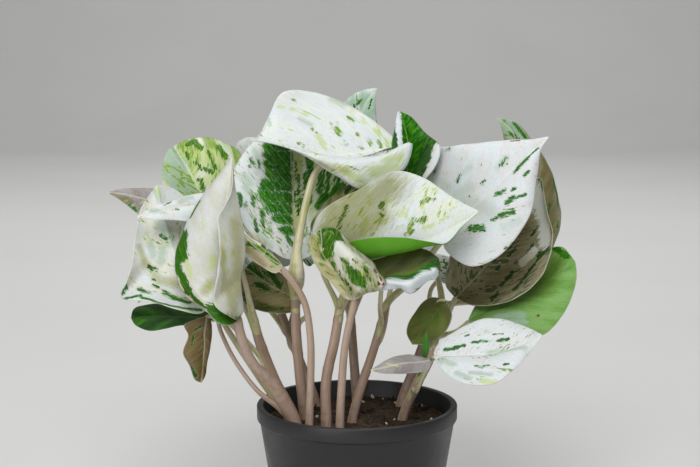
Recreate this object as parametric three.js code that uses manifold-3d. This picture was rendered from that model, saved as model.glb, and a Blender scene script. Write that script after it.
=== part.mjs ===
// A potted variegated pothos: a plain nursery pot, its soil, the short stems and every leaf on its stalk.
// Millimetres, +Z up, +Y away from the front. The origin is the middle of the pot's underside.
import * as THREE from "three";
import { mergeVertices } from "three/addons/utils/BufferGeometryUtils.js";
import Module from "manifold-3d";

const wasm = await Module();
wasm.setup();

// Pot: a thin tapered tub with a thicker band round its mouth.
const POT_HEIGHT = 105;
const RIM_RADIUS = 60;
const RIM_DEPTH = 9;
const RIM_STEP = 1.6;
const BASE_RADIUS = 43;
const WALL = 2.2;
const POT_SIDES = 36;
const EDGE_ROUND = 0.8;
const DRAIN_COUNT = 6;
const DRAIN_RADIUS = 4;
const DRAIN_RING = 29;

// Soil: a plug that fills the pot to a little below its mouth, with one plain hole for each stem.
const SOIL_TOP = 96;
const SOIL_CROWN = 1.5;
const CLEARANCE = 0.3;
const HOLE_GAP = 0.4;
const DRAIN_SIDES = 10;

// Leaves and stalks.
const BLADE_THICKNESS = 0.7;
const LARGE_BLADE = { rows: 10, half: 3 };
const SMALL_BLADE = { rows: 7, half: 2 };
const SMALL_LENGTH = 45;
const FIRST_ROW = 0.05;
const LAST_ROW = 0.98;
const NARROW_ROW = 9;
const MOST_BOW = 0.3;
const STALK_SIDES = 6;
const STALK_STEPS = 7;
const STALK_TAPER = [[0, 1.25], [0.2, 1], [1, 0.8]];
const STALK_IN_BLADE = 0.07;
const STEM_SIDES = 8;
const STEM_STEPS = 8;
const STEM_TAPER = [[0, 1.05], [0.85, 0.95], [1, 0.3]];
const SEAT_RUN = 5;

// Main stems, from inside the soil to their tops.
const STEMS = {
  left: { radius: 4.4, path: [[-36, -20, 70], [-37, -20, 96], [-43, -23, 112], [-51, -28, 126]] },
  left_back: { radius: 3.4, path: [[-38, 4, 70], [-40, 4, 96], [-50, 2, 120], [-58, -2, 143], [-62, -6, 160]] },
  centre_left: { radius: 3.2, path: [[-30, -4, 70], [-31, -5, 96], [-34, -8, 125], [-36, -12, 155], [-36, -15, 178]] },
  centre: { radius: 3.2, path: [[-18, -22, 70], [-18, -22, 96], [-18, -25, 125], [-13, -30, 150], [-9, -32, 176]] },
  right: { radius: 2.8, path: [[-3, -12, 70], [-3, -12, 96], [3, -13, 120], [10, -15, 142], [18, -17, 172]] },
  far_right: { radius: 3, path: [[26, -6, 70], [27, -6, 96], [35, -10, 118], [43, -14, 136], [47, -12, 152]] },
  back_right: { radius: 3, path: [[26, 26, 70], [27, 27, 96], [36, 32, 120], [46, 38, 145], [54, 42, 160]] },
  back: { radius: 3, path: [[0, 34, 70], [0, 35, 96], [-2, 40, 125], [-4, 44, 155], [-4, 44, 175]] },
  back_left: { radius: 3, path: [[-24, 26, 70], [-25, 27, 96], [-34, 32, 120], [-44, 36, 145], [-50, 38, 162]] },
};

// Each leaf runs from the end of its stalk to its tip. Its rib and its two margins are smooth curves through a
// few points; the margins share the rib's first and last point. Left is the left margin, seen from the front
// with the tip up, and swell is how far the left and right halves bow towards the front.
// A stalk leaves its stem at a share of the stem's length and a bearing, counted from +X towards +Y.
const LEAVES = {
  top: {
    rib: [[-4, -12, 251], [-19, -14, 253], [-39, -18, 260], [-62, -25, 265]],
    left: [[16, -15, 253], [31, -14, 262], [26, -28, 249], [3, -42, 238], [-21, -40, 256], [-41, -30, 262]],
    right: [[16, -8, 257], [23, -2, 259], [13, 8, 271], [-7, 16, 284], [-28, 18, 291], [-44, 12, 290], [-55, -15, 268]],
    swell: [3, -4],
    stalk: { stem: "centre_left", at: 0.97, bearing: 265, radius: 2.1, steps: 16,
      via: [[-36, -27, 192], [-35, -27, 206], [-30, -23, 232], [-21, -18, 244], [-9, -14, 245], [-1, -12, 247]] },
  },
  centre: {
    rib: [[-3, -40, 203], [13, -44, 207], [28, -50, 212], [46, -56, 220], [67, -58, 227]],
    left: [[-12, -40, 206], [-25, -42, 213], [-20, -46, 227], [2, -48, 239], [21, -45, 249], [36, -45, 245],
      [57, -54, 232]],
    right: [[-4, -52, 210], [7, -60, 214], [23, -64, 214], [45, -66, 211], [59, -62, 221]],
    swell: [4, -12],
    stalk: { stem: "centre", at: 0.95, bearing: 290, radius: 2, via: [[-5, -39, 188]] },
  },
  right: {
    rib: [[51, -20, 211], [66, -26, 226], [81, -30, 241], [95, -30, 255], [109, -26, 267]],
    left: [[42, -2, 219], [40, 6, 239], [44, 4, 256], [57, -8, 260], [82, -18, 264], [98, -24, 265]],
    right: [[50, -26, 203], [64, -36, 194], [80, -42, 201], [97, -40, 224], [101, -35, 243], [104, -29, 260]],
    swell: [3, 4],
    stalk: { stem: "right", at: 0.97, bearing: 350, radius: 2, via: [[33, -18, 184], [45, -18, 201]] },
  },
  top_right: {
    rib: [[28, -12, 241], [30, 0, 257], [28, 4, 270], [24, 6, 280]],
    left: [[22, -6, 247], [20, -2, 260], [22, 3, 270]],
    right: [[36, -14, 239], [46, -12, 250], [48, -8, 260], [39, 0, 268], [32, 4, 276]],
    swell: [2, 4],
    stalk: { stem: "centre", at: 0.93, bearing: 30, radius: 1.6, via: [[4, -26, 192], [18, -20, 220]] },
  },
  top_back: {
    rib: [[-3, 28, 255], [1, 31, 270], [5, 33, 282], [12, 32, 292]],
    left: [[-13, 30, 261], [-15, 32, 274], [-7, 34, 284], [3, 34, 290]],
    right: [[8, 31, 258], [12, 33, 269], [11, 33, 282]],
    swell: [2, 2],
    stalk: { stem: "back", at: 0.96, bearing: 270, radius: 1.6, via: [[-5, 33, 200], [-4, 30, 230]] },
  },
  left_front: {
    rib: [[-67, -50, 167], [-74, -56, 175], [-78, -60, 187], [-77, -61, 213], [-75, -56, 231], [-69, -48, 254]],
    left: [[-73, -58, 165], [-82, -62, 169], [-87, -58, 174], [-99, -50, 183], [-103, -46, 198], [-98, -44, 215],
      [-86, -44, 235], [-74, -46, 247]],
    right: [[-64, -44, 176], [-62, -40, 201], [-64, -40, 218], [-67, -43, 238]],
    swell: [5, 6],
    stalk: { stem: "left", at: 0.9, bearing: 235, radius: 2.8, via: [[-61, -38, 140], [-66, -45, 156]] },
  },
  left: {
    rib: [[-83, -30, 173], [-96, -33, 186], [-105, -33, 203], [-111, -28, 222], [-115, -22, 239]],
    left: [[-89, -42, 168], [-102, -50, 172], [-116, -52, 177], [-133, -46, 178], [-128, -42, 193],
      [-127, -32, 209], [-124, -27, 225]],
    right: [[-77, -22, 184], [-81, -14, 203], [-93, -14, 223], [-105, -18, 236]],
    swell: [-7, -3],
    stalk: { stem: "left", at: 0.85, bearing: 170, radius: 1.9, via: [[-64, -27, 138], [-76, -29, 158]] },
  },
  left_upper: {
    rib: [[-73, -20, 223], [-90, -30, 228], [-108, -40, 226], [-124, -45, 223]],
    left: [[-78, -24, 215], [-89, -34, 218], [-100, -42, 221], [-112, -45, 222]],
    right: [[-76, -16, 232], [-90, -22, 234], [-101, -31, 232], [-113, -40, 229]],
    swell: [2, 2],
    stalk: { stem: "left_back", at: 0.93, bearing: 270, radius: 1.6, via: [[-65, -15, 180], [-71, -18, 205]] },
  },
  far_left: {
    rib: [[-100, 4, 218], [-119, 0, 226], [-135, -4, 231], [-147, -6, 233]],
    left: [[-107, -6, 209], [-120, -8, 214], [-129, -8, 221], [-138, -7, 228]],
    right: [[-107, 14, 228], [-120, 10, 233], [-129, 6, 234], [-138, -1, 234]],
    swell: [2, 2],
    stalk: { stem: "left_back", at: 0.92, bearing: 150, radius: 1.6, via: [[-78, 2, 185], [-92, 4, 205]] },
  },
  upper_left: {
    rib: [[-89, 2, 225], [-94, 0, 235], [-101, 4, 247], [-109, 12, 258]],
    left: [[-98, -4, 221], [-109, -6, 228], [-114, -5, 238], [-114, 0, 248], [-112, 8, 256]],
    right: [[-77, 10, 225], [-68, 14, 238], [-70, 18, 254], [-85, 20, 262], [-100, 18, 262]],
    swell: [2, 3],
    stalk: { stem: "left_back", at: 0.97, bearing: 80, radius: 1.7, via: [[-70, 6, 185], [-80, 5, 208]] },
  },
  behind_left: {
    rib: [[-57, 36, 228], [-62, 36, 245], [-67, 34, 262]],
    left: [[-68, 36, 233], [-75, 36, 248], [-73, 35, 258]],
    right: [[-48, 36, 241], [-50, 35, 255], [-58, 34, 261]],
    swell: [3, 3],
    stalk: { stem: "back_left", at: 0.96, bearing: 250, radius: 1.5, via: [[-57, 35, 190]] },
  },
  upright: {
    rib: [[-35, -17, 194], [-36, -7, 208], [-38, 6, 227], [-40, 18, 256], [-42, 22, 279]],
    left: [[-43, -23, 197], [-54, -27, 205], [-63, -26, 211], [-70, -18, 228], [-73, -8, 241], [-68, 4, 253],
      [-55, 16, 268]],
    right: [[-27, -14, 197], [-17, -6, 211], [-4, 8, 227], [-2, 14, 241], [-10, 22, 261], [-27, 24, 276]],
    swell: [4, -2],
    stalk: { stem: "centre_left", at: 0.93, bearing: 70, radius: 2, via: [[-35, -9, 182]] },
  },
  inner_left: {
    rib: [[-42, -38, 194], [-50, -37, 199], [-58, -35, 205], [-68, -28, 215]],
    left: [[-46, -42, 191], [-54, -43, 195], [-63, -39, 202]],
    right: [[-46, -33, 198], [-54, -32, 204], [-62, -31, 210]],
    swell: [1, 1],
    stalk: { radius: 2.2,
      via: [[-28, -26, 70], [-28, -27, 96], [-27, -29, 125], [-27, -31, 152], [-31, -35, 175]] },
  },
  inner_shade: {
    rib: [[-32, 2, 167], [-48, 0, 175], [-66, -4, 188]],
    left: [[-38, -2, 161], [-56, -6, 162], [-67, -8, 168], [-69, -6, 178]],
    right: [[-36, 6, 176], [-51, 6, 186], [-61, 2, 191]],
    swell: [0, 0],
    stalk: { stem: "centre_left", at: 0.78, bearing: 60, radius: 1.5, via: [[-29, 2, 160]] },
  },
  right_tall: {
    rib: [[59, 10, 167], [74, 14, 182], [92, 18, 204], [105, 16, 226], [110, 12, 239]],
    left: [[53, 8, 176], [55, 12, 189], [63, 18, 210], [83, 22, 231], [101, 18, 240]],
    right: [[70, 2, 164], [87, -4, 167], [105, -8, 179], [113, -8, 196], [115, -5, 208], [112, 1, 220],
      [111, 6, 229]],
    swell: [-3, -5],
    stalk: { stem: "far_right", at: 0.96, bearing: 60, radius: 1.9, via: [[54, 3, 158]] },
  },
  right_low: {
    rib: [[66, 2, 155], [86, 10, 163], [111, 14, 175], [131, 10, 189]],
    left: [[74, 14, 165], [93, 24, 180], [114, 24, 194], [124, 18, 197], [128, 13, 193]],
    right: [[74, -8, 151], [90, -14, 149], [109, -12, 149], [121, -6, 159], [128, 0, 171], [131, 5, 181]],
    swell: [2, 4],
    stalk: { stem: "far_right", at: 0.94, bearing: 340, radius: 1.7, via: [[58, -8, 150]] },
  },
  right_back: {
    rib: [[92, 42, 169], [99, 38, 198], [101, 36, 230], [99, 36, 252], [94, 36, 266], [85, 36, 274]],
    left: [[81, 42, 184], [76, 42, 210], [81, 40, 235], [90, 38, 253], [88, 36, 267]],
    right: [[108, 46, 175], [121, 44, 191], [126, 42, 211], [122, 40, 232], [116, 38, 247], [106, 37, 261],
      [98, 36, 270]],
    swell: [3, 4],
    stalk: { stem: "back_right", at: 0.95, bearing: 340, radius: 1.8, via: [[75, 42, 160]] },
  },
  low_right: {
    rib: [[43, -40, 143], [58, -45, 144], [75, -50, 146], [91, -52, 151], [104, -50, 157]],
    left: [[46, -34, 148], [55, -26, 153], [70, -22, 160], [85, -26, 161], [96, -36, 159]],
    right: [[48, -52, 137], [59, -66, 133], [75, -74, 135], [86, -70, 142], [97, -58, 150]],
    swell: [2, 3],
    stalk: { stem: "far_right", at: 0.7, bearing: 275, radius: 1.7, via: [[42, -28, 137]] },
  },
  low_front: {
    rib: [[40, -48, 138], [30, -53, 140], [19, -58, 140], [7, -60, 140]],
    left: [[36, -54, 135], [28, -60, 135], [18, -62, 137]],
    right: [[35, -44, 142], [25, -47, 145], [15, -53, 143]],
    swell: [1, 1],
    stalk: { stem: "far_right", at: 0.55, bearing: 250, radius: 1.4, via: [[34, -31, 120], [37, -44, 132]] },
  },
  spotted: {
    rib: [[0, -56, 178], [-5, -62, 189], [-12, -62, 203], [-19, -54, 218]],
    left: [[-10, -54, 182], [-20, -52, 196], [-27, -48, 209], [-25, -48, 215]],
    right: [[8, -62, 180], [15, -69, 186], [14, -75, 196], [3, -75, 208], [-7, -68, 215], [-14, -58, 218]],
    swell: [3, 3],
    stalk: { radius: 2.4,
      via: [[-9, -36, 70], [-10, -36, 96], [-9, -40, 125], [-7, -46, 150], [-4, -52, 167]] },
  },
  cupped: {
    rib: [[13, -46, 181], [24, -50, 188], [35, -50, 194], [47, -46, 199]],
    left: [[9, -36, 190], [20, -32, 200], [36, -34, 205], [44, -39, 204]],
    right: [[17, -54, 181], [23, -60, 185], [30, -63, 183], [36, -60, 187], [41, -57, 190], [45, -52, 194]],
    swell: [-3, -4],
    stalk: { stem: "right", at: 0.85, bearing: 265, radius: 1.5, via: [[13, -35, 171]] },
  },
  low_left: {
    rib: [[-84, -16, 160], [-100, -22, 161], [-117, -28, 163], [-130, -31, 163]],
    left: [[-87, -26, 159], [-101, -38, 160], [-117, -42, 158], [-126, -38, 160]],
    right: [[-91, -8, 163], [-109, -8, 166], [-123, -16, 168], [-129, -25, 167]],
    swell: [3, 3],
    stalk: { stem: "left_back", at: 0.72, bearing: 200, radius: 1.4, via: [[-70, -9, 150], [-79, -14, 159]] },
  },
  hanging: {
    rib: [[-86, -32, 165], [-89, -35, 157], [-88, -36, 140], [-92, -34, 126]],
    left: [[-84, -29, 160], [-84, -29, 147], [-87, -32, 131]],
    right: [[-92, -35, 163], [-99, -38, 159], [-96, -38, 151], [-99, -36, 143], [-96, -34, 130]],
    swell: [3, 3],
    stalk: { stem: "left", at: 0.68, bearing: 195, radius: 1.4,
      via: [[-58, -29, 120], [-71, -34, 140], [-78, -36, 156], [-81, -34, 164]] },
  },
  inner_right: {
    rib: [[52, -12, 170], [44, -16, 160], [32, -20, 145]],
    left: [[55, -22, 162], [50, -24, 152], [40, -22, 146]],
    right: [[43, -6, 170], [33, -10, 161], [29, -16, 152]],
    swell: [2, 2],
    stalk: { stem: "far_right", at: 0.95, bearing: 180, radius: 1.2, via: [[44, -12, 160], [48, -11, 169]] },
  },
  behind_centre: {
    rib: [[-23, -26, 208], [-15, -25, 222], [-5, -26, 234], [6, -27, 243]],
    left: [[-27, -21, 215], [-19, -19, 227], [-7, -21, 238]],
    right: [[-12, -32, 209], [-3, -33, 219], [5, -31, 231]],
    swell: [2, 2],
    stalk: { stem: "centre", at: 0.92, bearing: 180, radius: 1.5, via: [[-20, -29, 190]] },
  },
};

// Leaves of the far side. Each is a heart-shaped sheet that arches over: its bearing, how steeply its rib starts
// and how far it bends down by its tip, in degrees, and its length.
const HEART_OUTLINE = [[-0.12, 0.14], [-0.12, 0.3], [0.03, 0.43], [0.28, 0.45], [0.58, 0.33], [0.84, 0.12]];
const HALF_TILT = 11;
const FAR_LEAVES = {
  back_low_right: { base: [54, 72, 170], bearing: 45, rise: 20, bend: 85, length: 76, stem: "back_right", at: 0.72 },
  back_high_right: { base: [46, 56, 222], bearing: 62, rise: 40, bend: 100, length: 82, stem: "back_right", at: 0.97 },
  back_low: { base: [6, 69, 176], bearing: 90, rise: 15, bend: 80, length: 70, stem: "back", at: 0.72 },
  back_high: { base: [-4, 56, 238], bearing: 98, rise: 45, bend: 105, length: 84, stem: "back", at: 0.97 },
  back_low_left: { base: [-40, 64, 182], bearing: 122, rise: 20, bend: 85, length: 76, stem: "back_left", at: 0.72 },
  back_high_left: { base: [-60, 54, 220], bearing: 138, rise: 35, bend: 95, length: 80, stem: "back_left", at: 0.97 },
  back_left: { base: [-76, 40, 176], bearing: 172, rise: 20, bend: 75, length: 70, stem: "back_left", at: 0.84 },
  inner_back_right: { base: [28, 22, 184], bearing: 40, rise: 75, bend: 60, length: 58, stem: "right", at: 0.8 },
  inner_back_left: { base: [-26, 30, 192], bearing: 150, rise: 70, bend: 55, length: 56, stem: "back", at: 0.85 },
};
const FAR_STALK_RADIUS = 1.6;

// The rolled young leaf, a spindle that stands at the foot of the low right leaf.
const SHOOT_RADIUS = 2.6;
const SHOOT_SIDES = 8;
const SHOOT_SINK = 1;
const SHOOT_STALK = { stem: "far_right", at: 0.7, bearing: 225, radius: 1.2, via: [[35, -31, 134], [38, -43, 142]] };
const SHOOT_TIP = [39, -47, 159];

const toVector = ([x, y, z]) => new THREE.Vector3(x, y, z);
const curveThrough = (points) => new THREE.CatmullRomCurve3(points, false, "centripetal");

function finish(name, geometry, colour, roughness) {
  const mesh = new THREE.Mesh(geometry, new THREE.MeshStandardMaterial({ color: colour, roughness, metalness: 0 }));
  mesh.name = name;
  return mesh;
}

// A closed geometry as a solid that can be joined and cut.
function toSolid(geometry) {
  const bare = geometry.clone();
  bare.deleteAttribute("normal");
  bare.deleteAttribute("uv");
  const merged = mergeVertices(bare, 1e-4);
  const vertProperties = new Float32Array(merged.attributes.position.array);
  const triVerts = new Uint32Array(merged.index.array);
  return new wasm.Manifold(new wasm.Mesh({ numProp: 3, vertProperties, triVerts }));
}

function toGeometry(solid) {
  const mesh = solid.getMesh();
  const geometry = new THREE.BufferGeometry();
  geometry.setAttribute("position", new THREE.BufferAttribute(new Float32Array(mesh.vertProperties), 3));
  geometry.setIndex(new THREE.BufferAttribute(new Uint32Array(mesh.triVerts), 1));
  geometry.computeVertexNormals();
  return geometry;
}

// The share of the full radius at a point along a stalk, from a short list of [along, share] pairs.
function taperAt(taper, along) {
  const next = Math.max(1, taper.findIndex(([place]) => place >= along));
  const [fromPlace, fromShare] = taper[next - 1];
  const [toPlace, toShare] = taper[next];
  return THREE.MathUtils.mapLinear(along, fromPlace, toPlace, fromShare, toShare);
}

// A round tapering bar along a curve, closed at both ends. Grown makes it thicker all round and at its foot.
function taperedBar(curve, radius, taper, sides, steps, grown = 0) {
  const frames = curve.computeFrenetFrames(steps, false);
  const points = [];
  for (let i = 0; i <= steps; i++) {
    const centre = curve.getPointAt(i / steps);
    if (i === 0) centre.addScaledVector(frames.tangents[0], -grown);
    const reach = radius * taperAt(taper, i / steps) + grown;
    for (let j = 0; j < sides; j++) {
      const angle = (2 * Math.PI * j) / sides;
      const point = centre.clone().addScaledVector(frames.normals[i], reach * Math.cos(angle));
      points.push(point.addScaledVector(frames.binormals[i], reach * Math.sin(angle)));
    }
  }
  const index = [];
  for (let i = 0; i < steps; i++) {
    for (let j = 0; j < sides; j++) {
      const [a, b] = [i * sides + j, i * sides + ((j + 1) % sides)];
      index.push(a, b, b + sides, a, b + sides, a + sides);
    }
  }
  const top = steps * sides;
  for (let j = 1; j < sides - 1; j++) index.push(0, j + 1, j, top, top + j, top + j + 1);
  const geometry = new THREE.BufferGeometry().setFromPoints(points);
  geometry.setIndex(index);
  return geometry;
}

// The inside of the pot at a height above its underside.
function innerRadius(z) {
  return THREE.MathUtils.mapLinear(z, 0, POT_HEIGHT, BASE_RADIUS - WALL, RIM_RADIUS - RIM_STEP - WALL);
}

function potProfile() {
  const bandBottom = POT_HEIGHT - RIM_DEPTH;
  return [
    [0, 0],
    [BASE_RADIUS - EDGE_ROUND, 0],
    [BASE_RADIUS, EDGE_ROUND],
    [RIM_RADIUS - RIM_STEP, bandBottom],
    [RIM_RADIUS, bandBottom + EDGE_ROUND],
    [RIM_RADIUS, POT_HEIGHT - EDGE_ROUND],
    [RIM_RADIUS - EDGE_ROUND, POT_HEIGHT],
    [innerRadius(POT_HEIGHT) + EDGE_ROUND, POT_HEIGHT],
    [innerRadius(POT_HEIGHT - EDGE_ROUND), POT_HEIGHT - EDGE_ROUND],
    [innerRadius(WALL), WALL],
    [0, WALL],
  ].map(([r, z]) => new THREE.Vector2(r, z));
}

// A lathe turns about Y, so the shape is stood up on Z.
function turned(profile, sides) {
  return new THREE.LatheGeometry(profile, sides).rotateX(Math.PI / 2);
}

function makePot() {
  let pot = toSolid(turned(potProfile(), POT_SIDES));
  for (let i = 0; i < DRAIN_COUNT; i++) {
    const angle = ((i + 0.5) * 2 * Math.PI) / DRAIN_COUNT;
    const drain = new THREE.CylinderGeometry(DRAIN_RADIUS, DRAIN_RADIUS, 4 * WALL, DRAIN_SIDES).rotateX(Math.PI / 2);
    drain.translate(DRAIN_RING * Math.cos(angle), DRAIN_RING * Math.sin(angle), 0);
    pot = pot.subtract(toSolid(drain));
  }
  return finish("pot", toGeometry(pot), 0x17181a, 0.45);
}

function soilProfile() {
  const floor = WALL + CLEARANCE;
  return [
    [0, floor],
    [innerRadius(floor) - CLEARANCE, floor],
    [innerRadius(SOIL_TOP - 1) - CLEARANCE, SOIL_TOP - 1],
    [innerRadius(SOIL_TOP) - 2, SOIL_TOP],
    [0.5 * RIM_RADIUS, SOIL_TOP + 0.6 * SOIL_CROWN],
    [0, SOIL_TOP + SOIL_CROWN],
  ].map(([r, z]) => new THREE.Vector2(r, z));
}

function makeSoil(holes) {
  let soil = toSolid(turned(soilProfile(), POT_SIDES));
  for (const hole of holes) soil = soil.subtract(toSolid(hole));
  return finish("soil", toGeometry(soil), 0x2a1d14, 0.95);
}

function stemCurve(name) {
  return curveThrough(STEMS[name].path.map(toVector));
}

function stemBar(name, grown = 0) {
  return taperedBar(stemCurve(name), STEMS[name].radius, STEM_TAPER, STEM_SIDES, STEM_STEPS, grown);
}

function makeStem(name) {
  return finish(`stem_${name}`, toGeometry(toSolid(stemBar(name))), 0xb7a080, 0.6);
}

// Where a stalk starts: beside its stem, with a hair's gap, running along it before it bends away.
function seat({ stem, at, bearing, radius }) {
  const curve = stemCurve(stem);
  const tangent = curve.getTangentAt(at);
  const angle = THREE.MathUtils.degToRad(bearing);
  const out = new THREE.Vector3(Math.cos(angle), Math.sin(angle), 0);
  out.addScaledVector(tangent, -out.dot(tangent)).normalize();
  const apart = STEMS[stem].radius * taperAt(STEM_TAPER, at) + radius * taperAt(STALK_TAPER, 0) + CLEARANCE;
  const start = curve.getPointAt(at).addScaledVector(out, apart);
  return [start, start.clone().addScaledVector(tangent, SEAT_RUN).addScaledVector(out, 0.1 * SEAT_RUN)];
}

function stalkBar(stalk, end, grown = 0) {
  const foot = stalk.stem ? seat(stalk) : [];
  const curve = curveThrough([...foot, ...stalk.via.map(toVector), ...end]);
  return taperedBar(curve, stalk.radius, STALK_TAPER, STALK_SIDES, stalk.steps ?? STALK_STEPS, grown);
}

// A leaf's stalk runs a little way along the rib, so that it holds the blade.
function leafStalkBar(leaf, grown = 0) {
  const rib = curveThrough(leaf.rib.map(toVector));
  return stalkBar(leaf.stalk, [rib.getPointAt(0), rib.getPointAt(STALK_IN_BLADE)], grown);
}

// The point of a blade at a share of its length and, from -1 on the left margin to 1 on the right, across it.
function bladePoint(curves, swell, along, across) {
  const side = across < 0 ? 0 : 1;
  const share = Math.abs(across);
  const inner = curves.rib.getPointAt(along);
  const outer = curves.margins[side].getPointAt(along);
  const row = outer.clone().sub(inner);
  const forward = curves.rib.getTangentAt(along);
  const face = side === 0 ? forward.clone().cross(row) : row.clone().cross(forward);
  const most = Math.min(Math.abs(swell[side]) / row.length(), MOST_BOW) * Math.sign(swell[side]);
  const bow = 4 * share * (1 - share) * Math.sin(Math.PI * along) ** 0.5 * most;
  return inner.addScaledVector(row, share).addScaledVector(face, bow);
}

// The way a sheet faces at each grid point. In a narrow row the whole row faces the same way, or its two faces
// would pass through each other.
function gridNormals(grid, faces, width) {
  const sheet = new THREE.BufferGeometry().setFromPoints(grid);
  sheet.setIndex(faces.flat());
  sheet.computeVertexNormals();
  const normals = grid.map((_, k) => new THREE.Vector3().fromBufferAttribute(sheet.attributes.normal, k));
  for (let start = 0; start < grid.length; start += width) {
    const row = normals.slice(start, start + width);
    const mean = row.reduce((sum, normal) => sum.add(normal), new THREE.Vector3()).normalize();
    let span = 0;
    for (let k = start + 1; k < start + width; k++) span += grid[k].distanceTo(grid[k - 1]);
    const own = THREE.MathUtils.smoothstep(span, NARROW_ROW / 3, NARROW_ROW);
    for (const normal of row) normal.lerp(mean, 1 - own).normalize();
  }
  return normals;
}

// A blade as a thin closed shell. Both faces are split into triangles in the same way.
function bladeGeometry(curves, swell) {
  const { rows, half } = curves.rib.getLength() < SMALL_LENGTH ? SMALL_BLADE : LARGE_BLADE;
  const columns = 2 * half;
  const grid = [];
  for (let i = 0; i <= rows; i++) {
    const along = THREE.MathUtils.lerp(FIRST_ROW, LAST_ROW, i / rows);
    for (let j = 0; j <= columns; j++) grid.push(bladePoint(curves, swell, along, j / half - 1));
  }
  const at = (i, j) => i * (columns + 1) + j;
  const faces = [];
  for (let i = 0; i < rows; i++) {
    for (let j = 0; j < columns; j++) {
      const corners = [at(i, j), at(i + 1, j), at(i + 1, j + 1), at(i, j + 1)];
      if (j < half) faces.push([corners[0], corners[1], corners[2]], [corners[0], corners[2], corners[3]]);
      else faces.push([corners[0], corners[1], corners[3]], [corners[1], corners[2], corners[3]]);
    }
  }
  const normals = gridNormals(grid, faces, columns + 1);
  const count = grid.length;
  const layers = [0.5, -0.5].map((share) =>
    grid.map((point, k) => point.clone().addScaledVector(normals[k], share * BLADE_THICKNESS)),
  );
  const index = [];
  for (const [a, b, c] of faces) index.push(a, b, c, c + count, b + count, a + count);
  const rim = [];
  for (let i = 0; i < rows; i++) rim.push(at(i, 0));
  for (let j = 0; j < columns; j++) rim.push(at(rows, j));
  for (let i = rows; i > 0; i--) rim.push(at(i, columns));
  for (let j = columns; j > 0; j--) rim.push(at(0, j));
  rim.forEach((a, k) => {
    const b = rim[(k + 1) % rim.length];
    index.push(b, a, a + count, b, a + count, b + count);
  });
  const geometry = new THREE.BufferGeometry().setFromPoints(layers.flat());
  geometry.setIndex(index);
  return geometry;
}

// A solid whose faces turn out to point inwards is turned round.
function outward(geometry) {
  const solid = toSolid(geometry);
  if (solid.volume() > 0) return solid;
  const index = Array.from(geometry.index.array);
  const flipped = geometry.clone();
  flipped.setIndex(index.reverse());
  return toSolid(flipped);
}

function leafCurves({ rib, left, right }) {
  const ends = [rib[0], rib[rib.length - 1]];
  const margins = [left, right].map((side) => curveThrough([ends[0], ...side, ends[1]].map(toVector)));
  return { rib: curveThrough(rib.map(toVector)), margins };
}

function makeLeaf(name, leaf) {
  const curves = leafCurves(leaf);
  const blade = outward(bladeGeometry(curves, leaf.swell));
  return finish(`leaf_${name}`, toGeometry(blade.add(toSolid(leafStalkBar(leaf)))), 0xe4e6da, 0.4);
}

// A far leaf's own curves: its outline laid on a sheet that bends along the rib and tilts up either side of it.
function farLeaf({ base, bearing, rise, bend, length, stem, at }) {
  const heading = THREE.MathUtils.degToRad(bearing);
  const start = THREE.MathUtils.degToRad(rise);
  const turn = THREE.MathUtils.degToRad(bend);
  const tilt = THREE.MathUtils.degToRad(HALF_TILT);
  const ahead = new THREE.Vector3(Math.cos(heading), Math.sin(heading), 0);
  const aside = new THREE.Vector3(-ahead.y, ahead.x, 0);
  const arc = length / turn;
  const place = (along, across) => {
    const pitch = start - turn * along;
    const run = arc * (Math.sin(start) - Math.sin(pitch));
    const climb = arc * (Math.cos(pitch) - Math.cos(start));
    const lift = Math.abs(across) * length * Math.sin(tilt);
    return toVector(base)
      .addScaledVector(ahead, run - lift * Math.sin(pitch))
      .addScaledVector(aside, across * length * Math.cos(tilt))
      .add(new THREE.Vector3(0, 0, climb + lift * Math.cos(pitch)));
  };
  const rib = [0, 0.33, 0.66, 1].map((along) => place(along, 0).toArray());
  const left = HEART_OUTLINE.map(([along, across]) => place(along, across).toArray());
  const right = HEART_OUTLINE.map(([along, across]) => place(along, -across).toArray());
  const stalk = { stem, at, bearing, radius: FAR_STALK_RADIUS };
  const climbing = new THREE.Vector3(base[0], base[1], base[2]).addScaledVector(ahead, -0.12 * length);
  stalk.via = [climbing.add(new THREE.Vector3(0, 0, -0.1 * length)).toArray()];
  return { rib, left, right, swell: [2, 2], stalk };
}

function makeShoot() {
  const foot = toVector(SHOOT_STALK.via[SHOOT_STALK.via.length - 1]);
  const tip = toVector(SHOOT_TIP);
  const height = foot.distanceTo(tip);
  const outline = [[0, 0], [0.5, 0], [1, 0.35], [0.75, 0.7], [0, 1]];
  const profile = outline.map(([r, z]) => new THREE.Vector2(r * SHOOT_RADIUS, z * height));
  const spindle = new THREE.LatheGeometry(profile, SHOOT_SIDES);
  const axis = tip.clone().sub(foot).normalize();
  spindle.applyQuaternion(new THREE.Quaternion().setFromUnitVectors(new THREE.Vector3(0, 1, 0), axis));
  const sunk = foot.clone().addScaledVector(axis, -SHOOT_SINK);
  spindle.translate(sunk.x, sunk.y, sunk.z);
  return finish("shoot", toGeometry(outward(spindle).add(toSolid(stalkBar(SHOOT_STALK, [])))), 0x4f8a2c, 0.4);
}

const leaves = { ...LEAVES };
for (const [name, settings] of Object.entries(FAR_LEAVES)) leaves[name] = farLeaf(settings);

const rooted = Object.values(leaves).filter(({ stalk }) => !stalk.stem);
const holes = [
  ...Object.keys(STEMS).map((name) => stemBar(name, HOLE_GAP)),
  ...rooted.map((leaf) => leafStalkBar(leaf, HOLE_GAP)),
];

const plant = new THREE.Group();
plant.add(makePot());
plant.add(makeSoil(holes));
for (const name of Object.keys(STEMS)) plant.add(makeStem(name));
for (const [name, leaf] of Object.entries(leaves)) plant.add(makeLeaf(name, leaf));
plant.add(makeShoot());

export default plant;
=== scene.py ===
"""Dresses a potted variegated pothos: pot, soil, stems, and every leaf with its stalk, veins and markings."""

import math
from collections import namedtuple
from statistics import NormalDist

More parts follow.
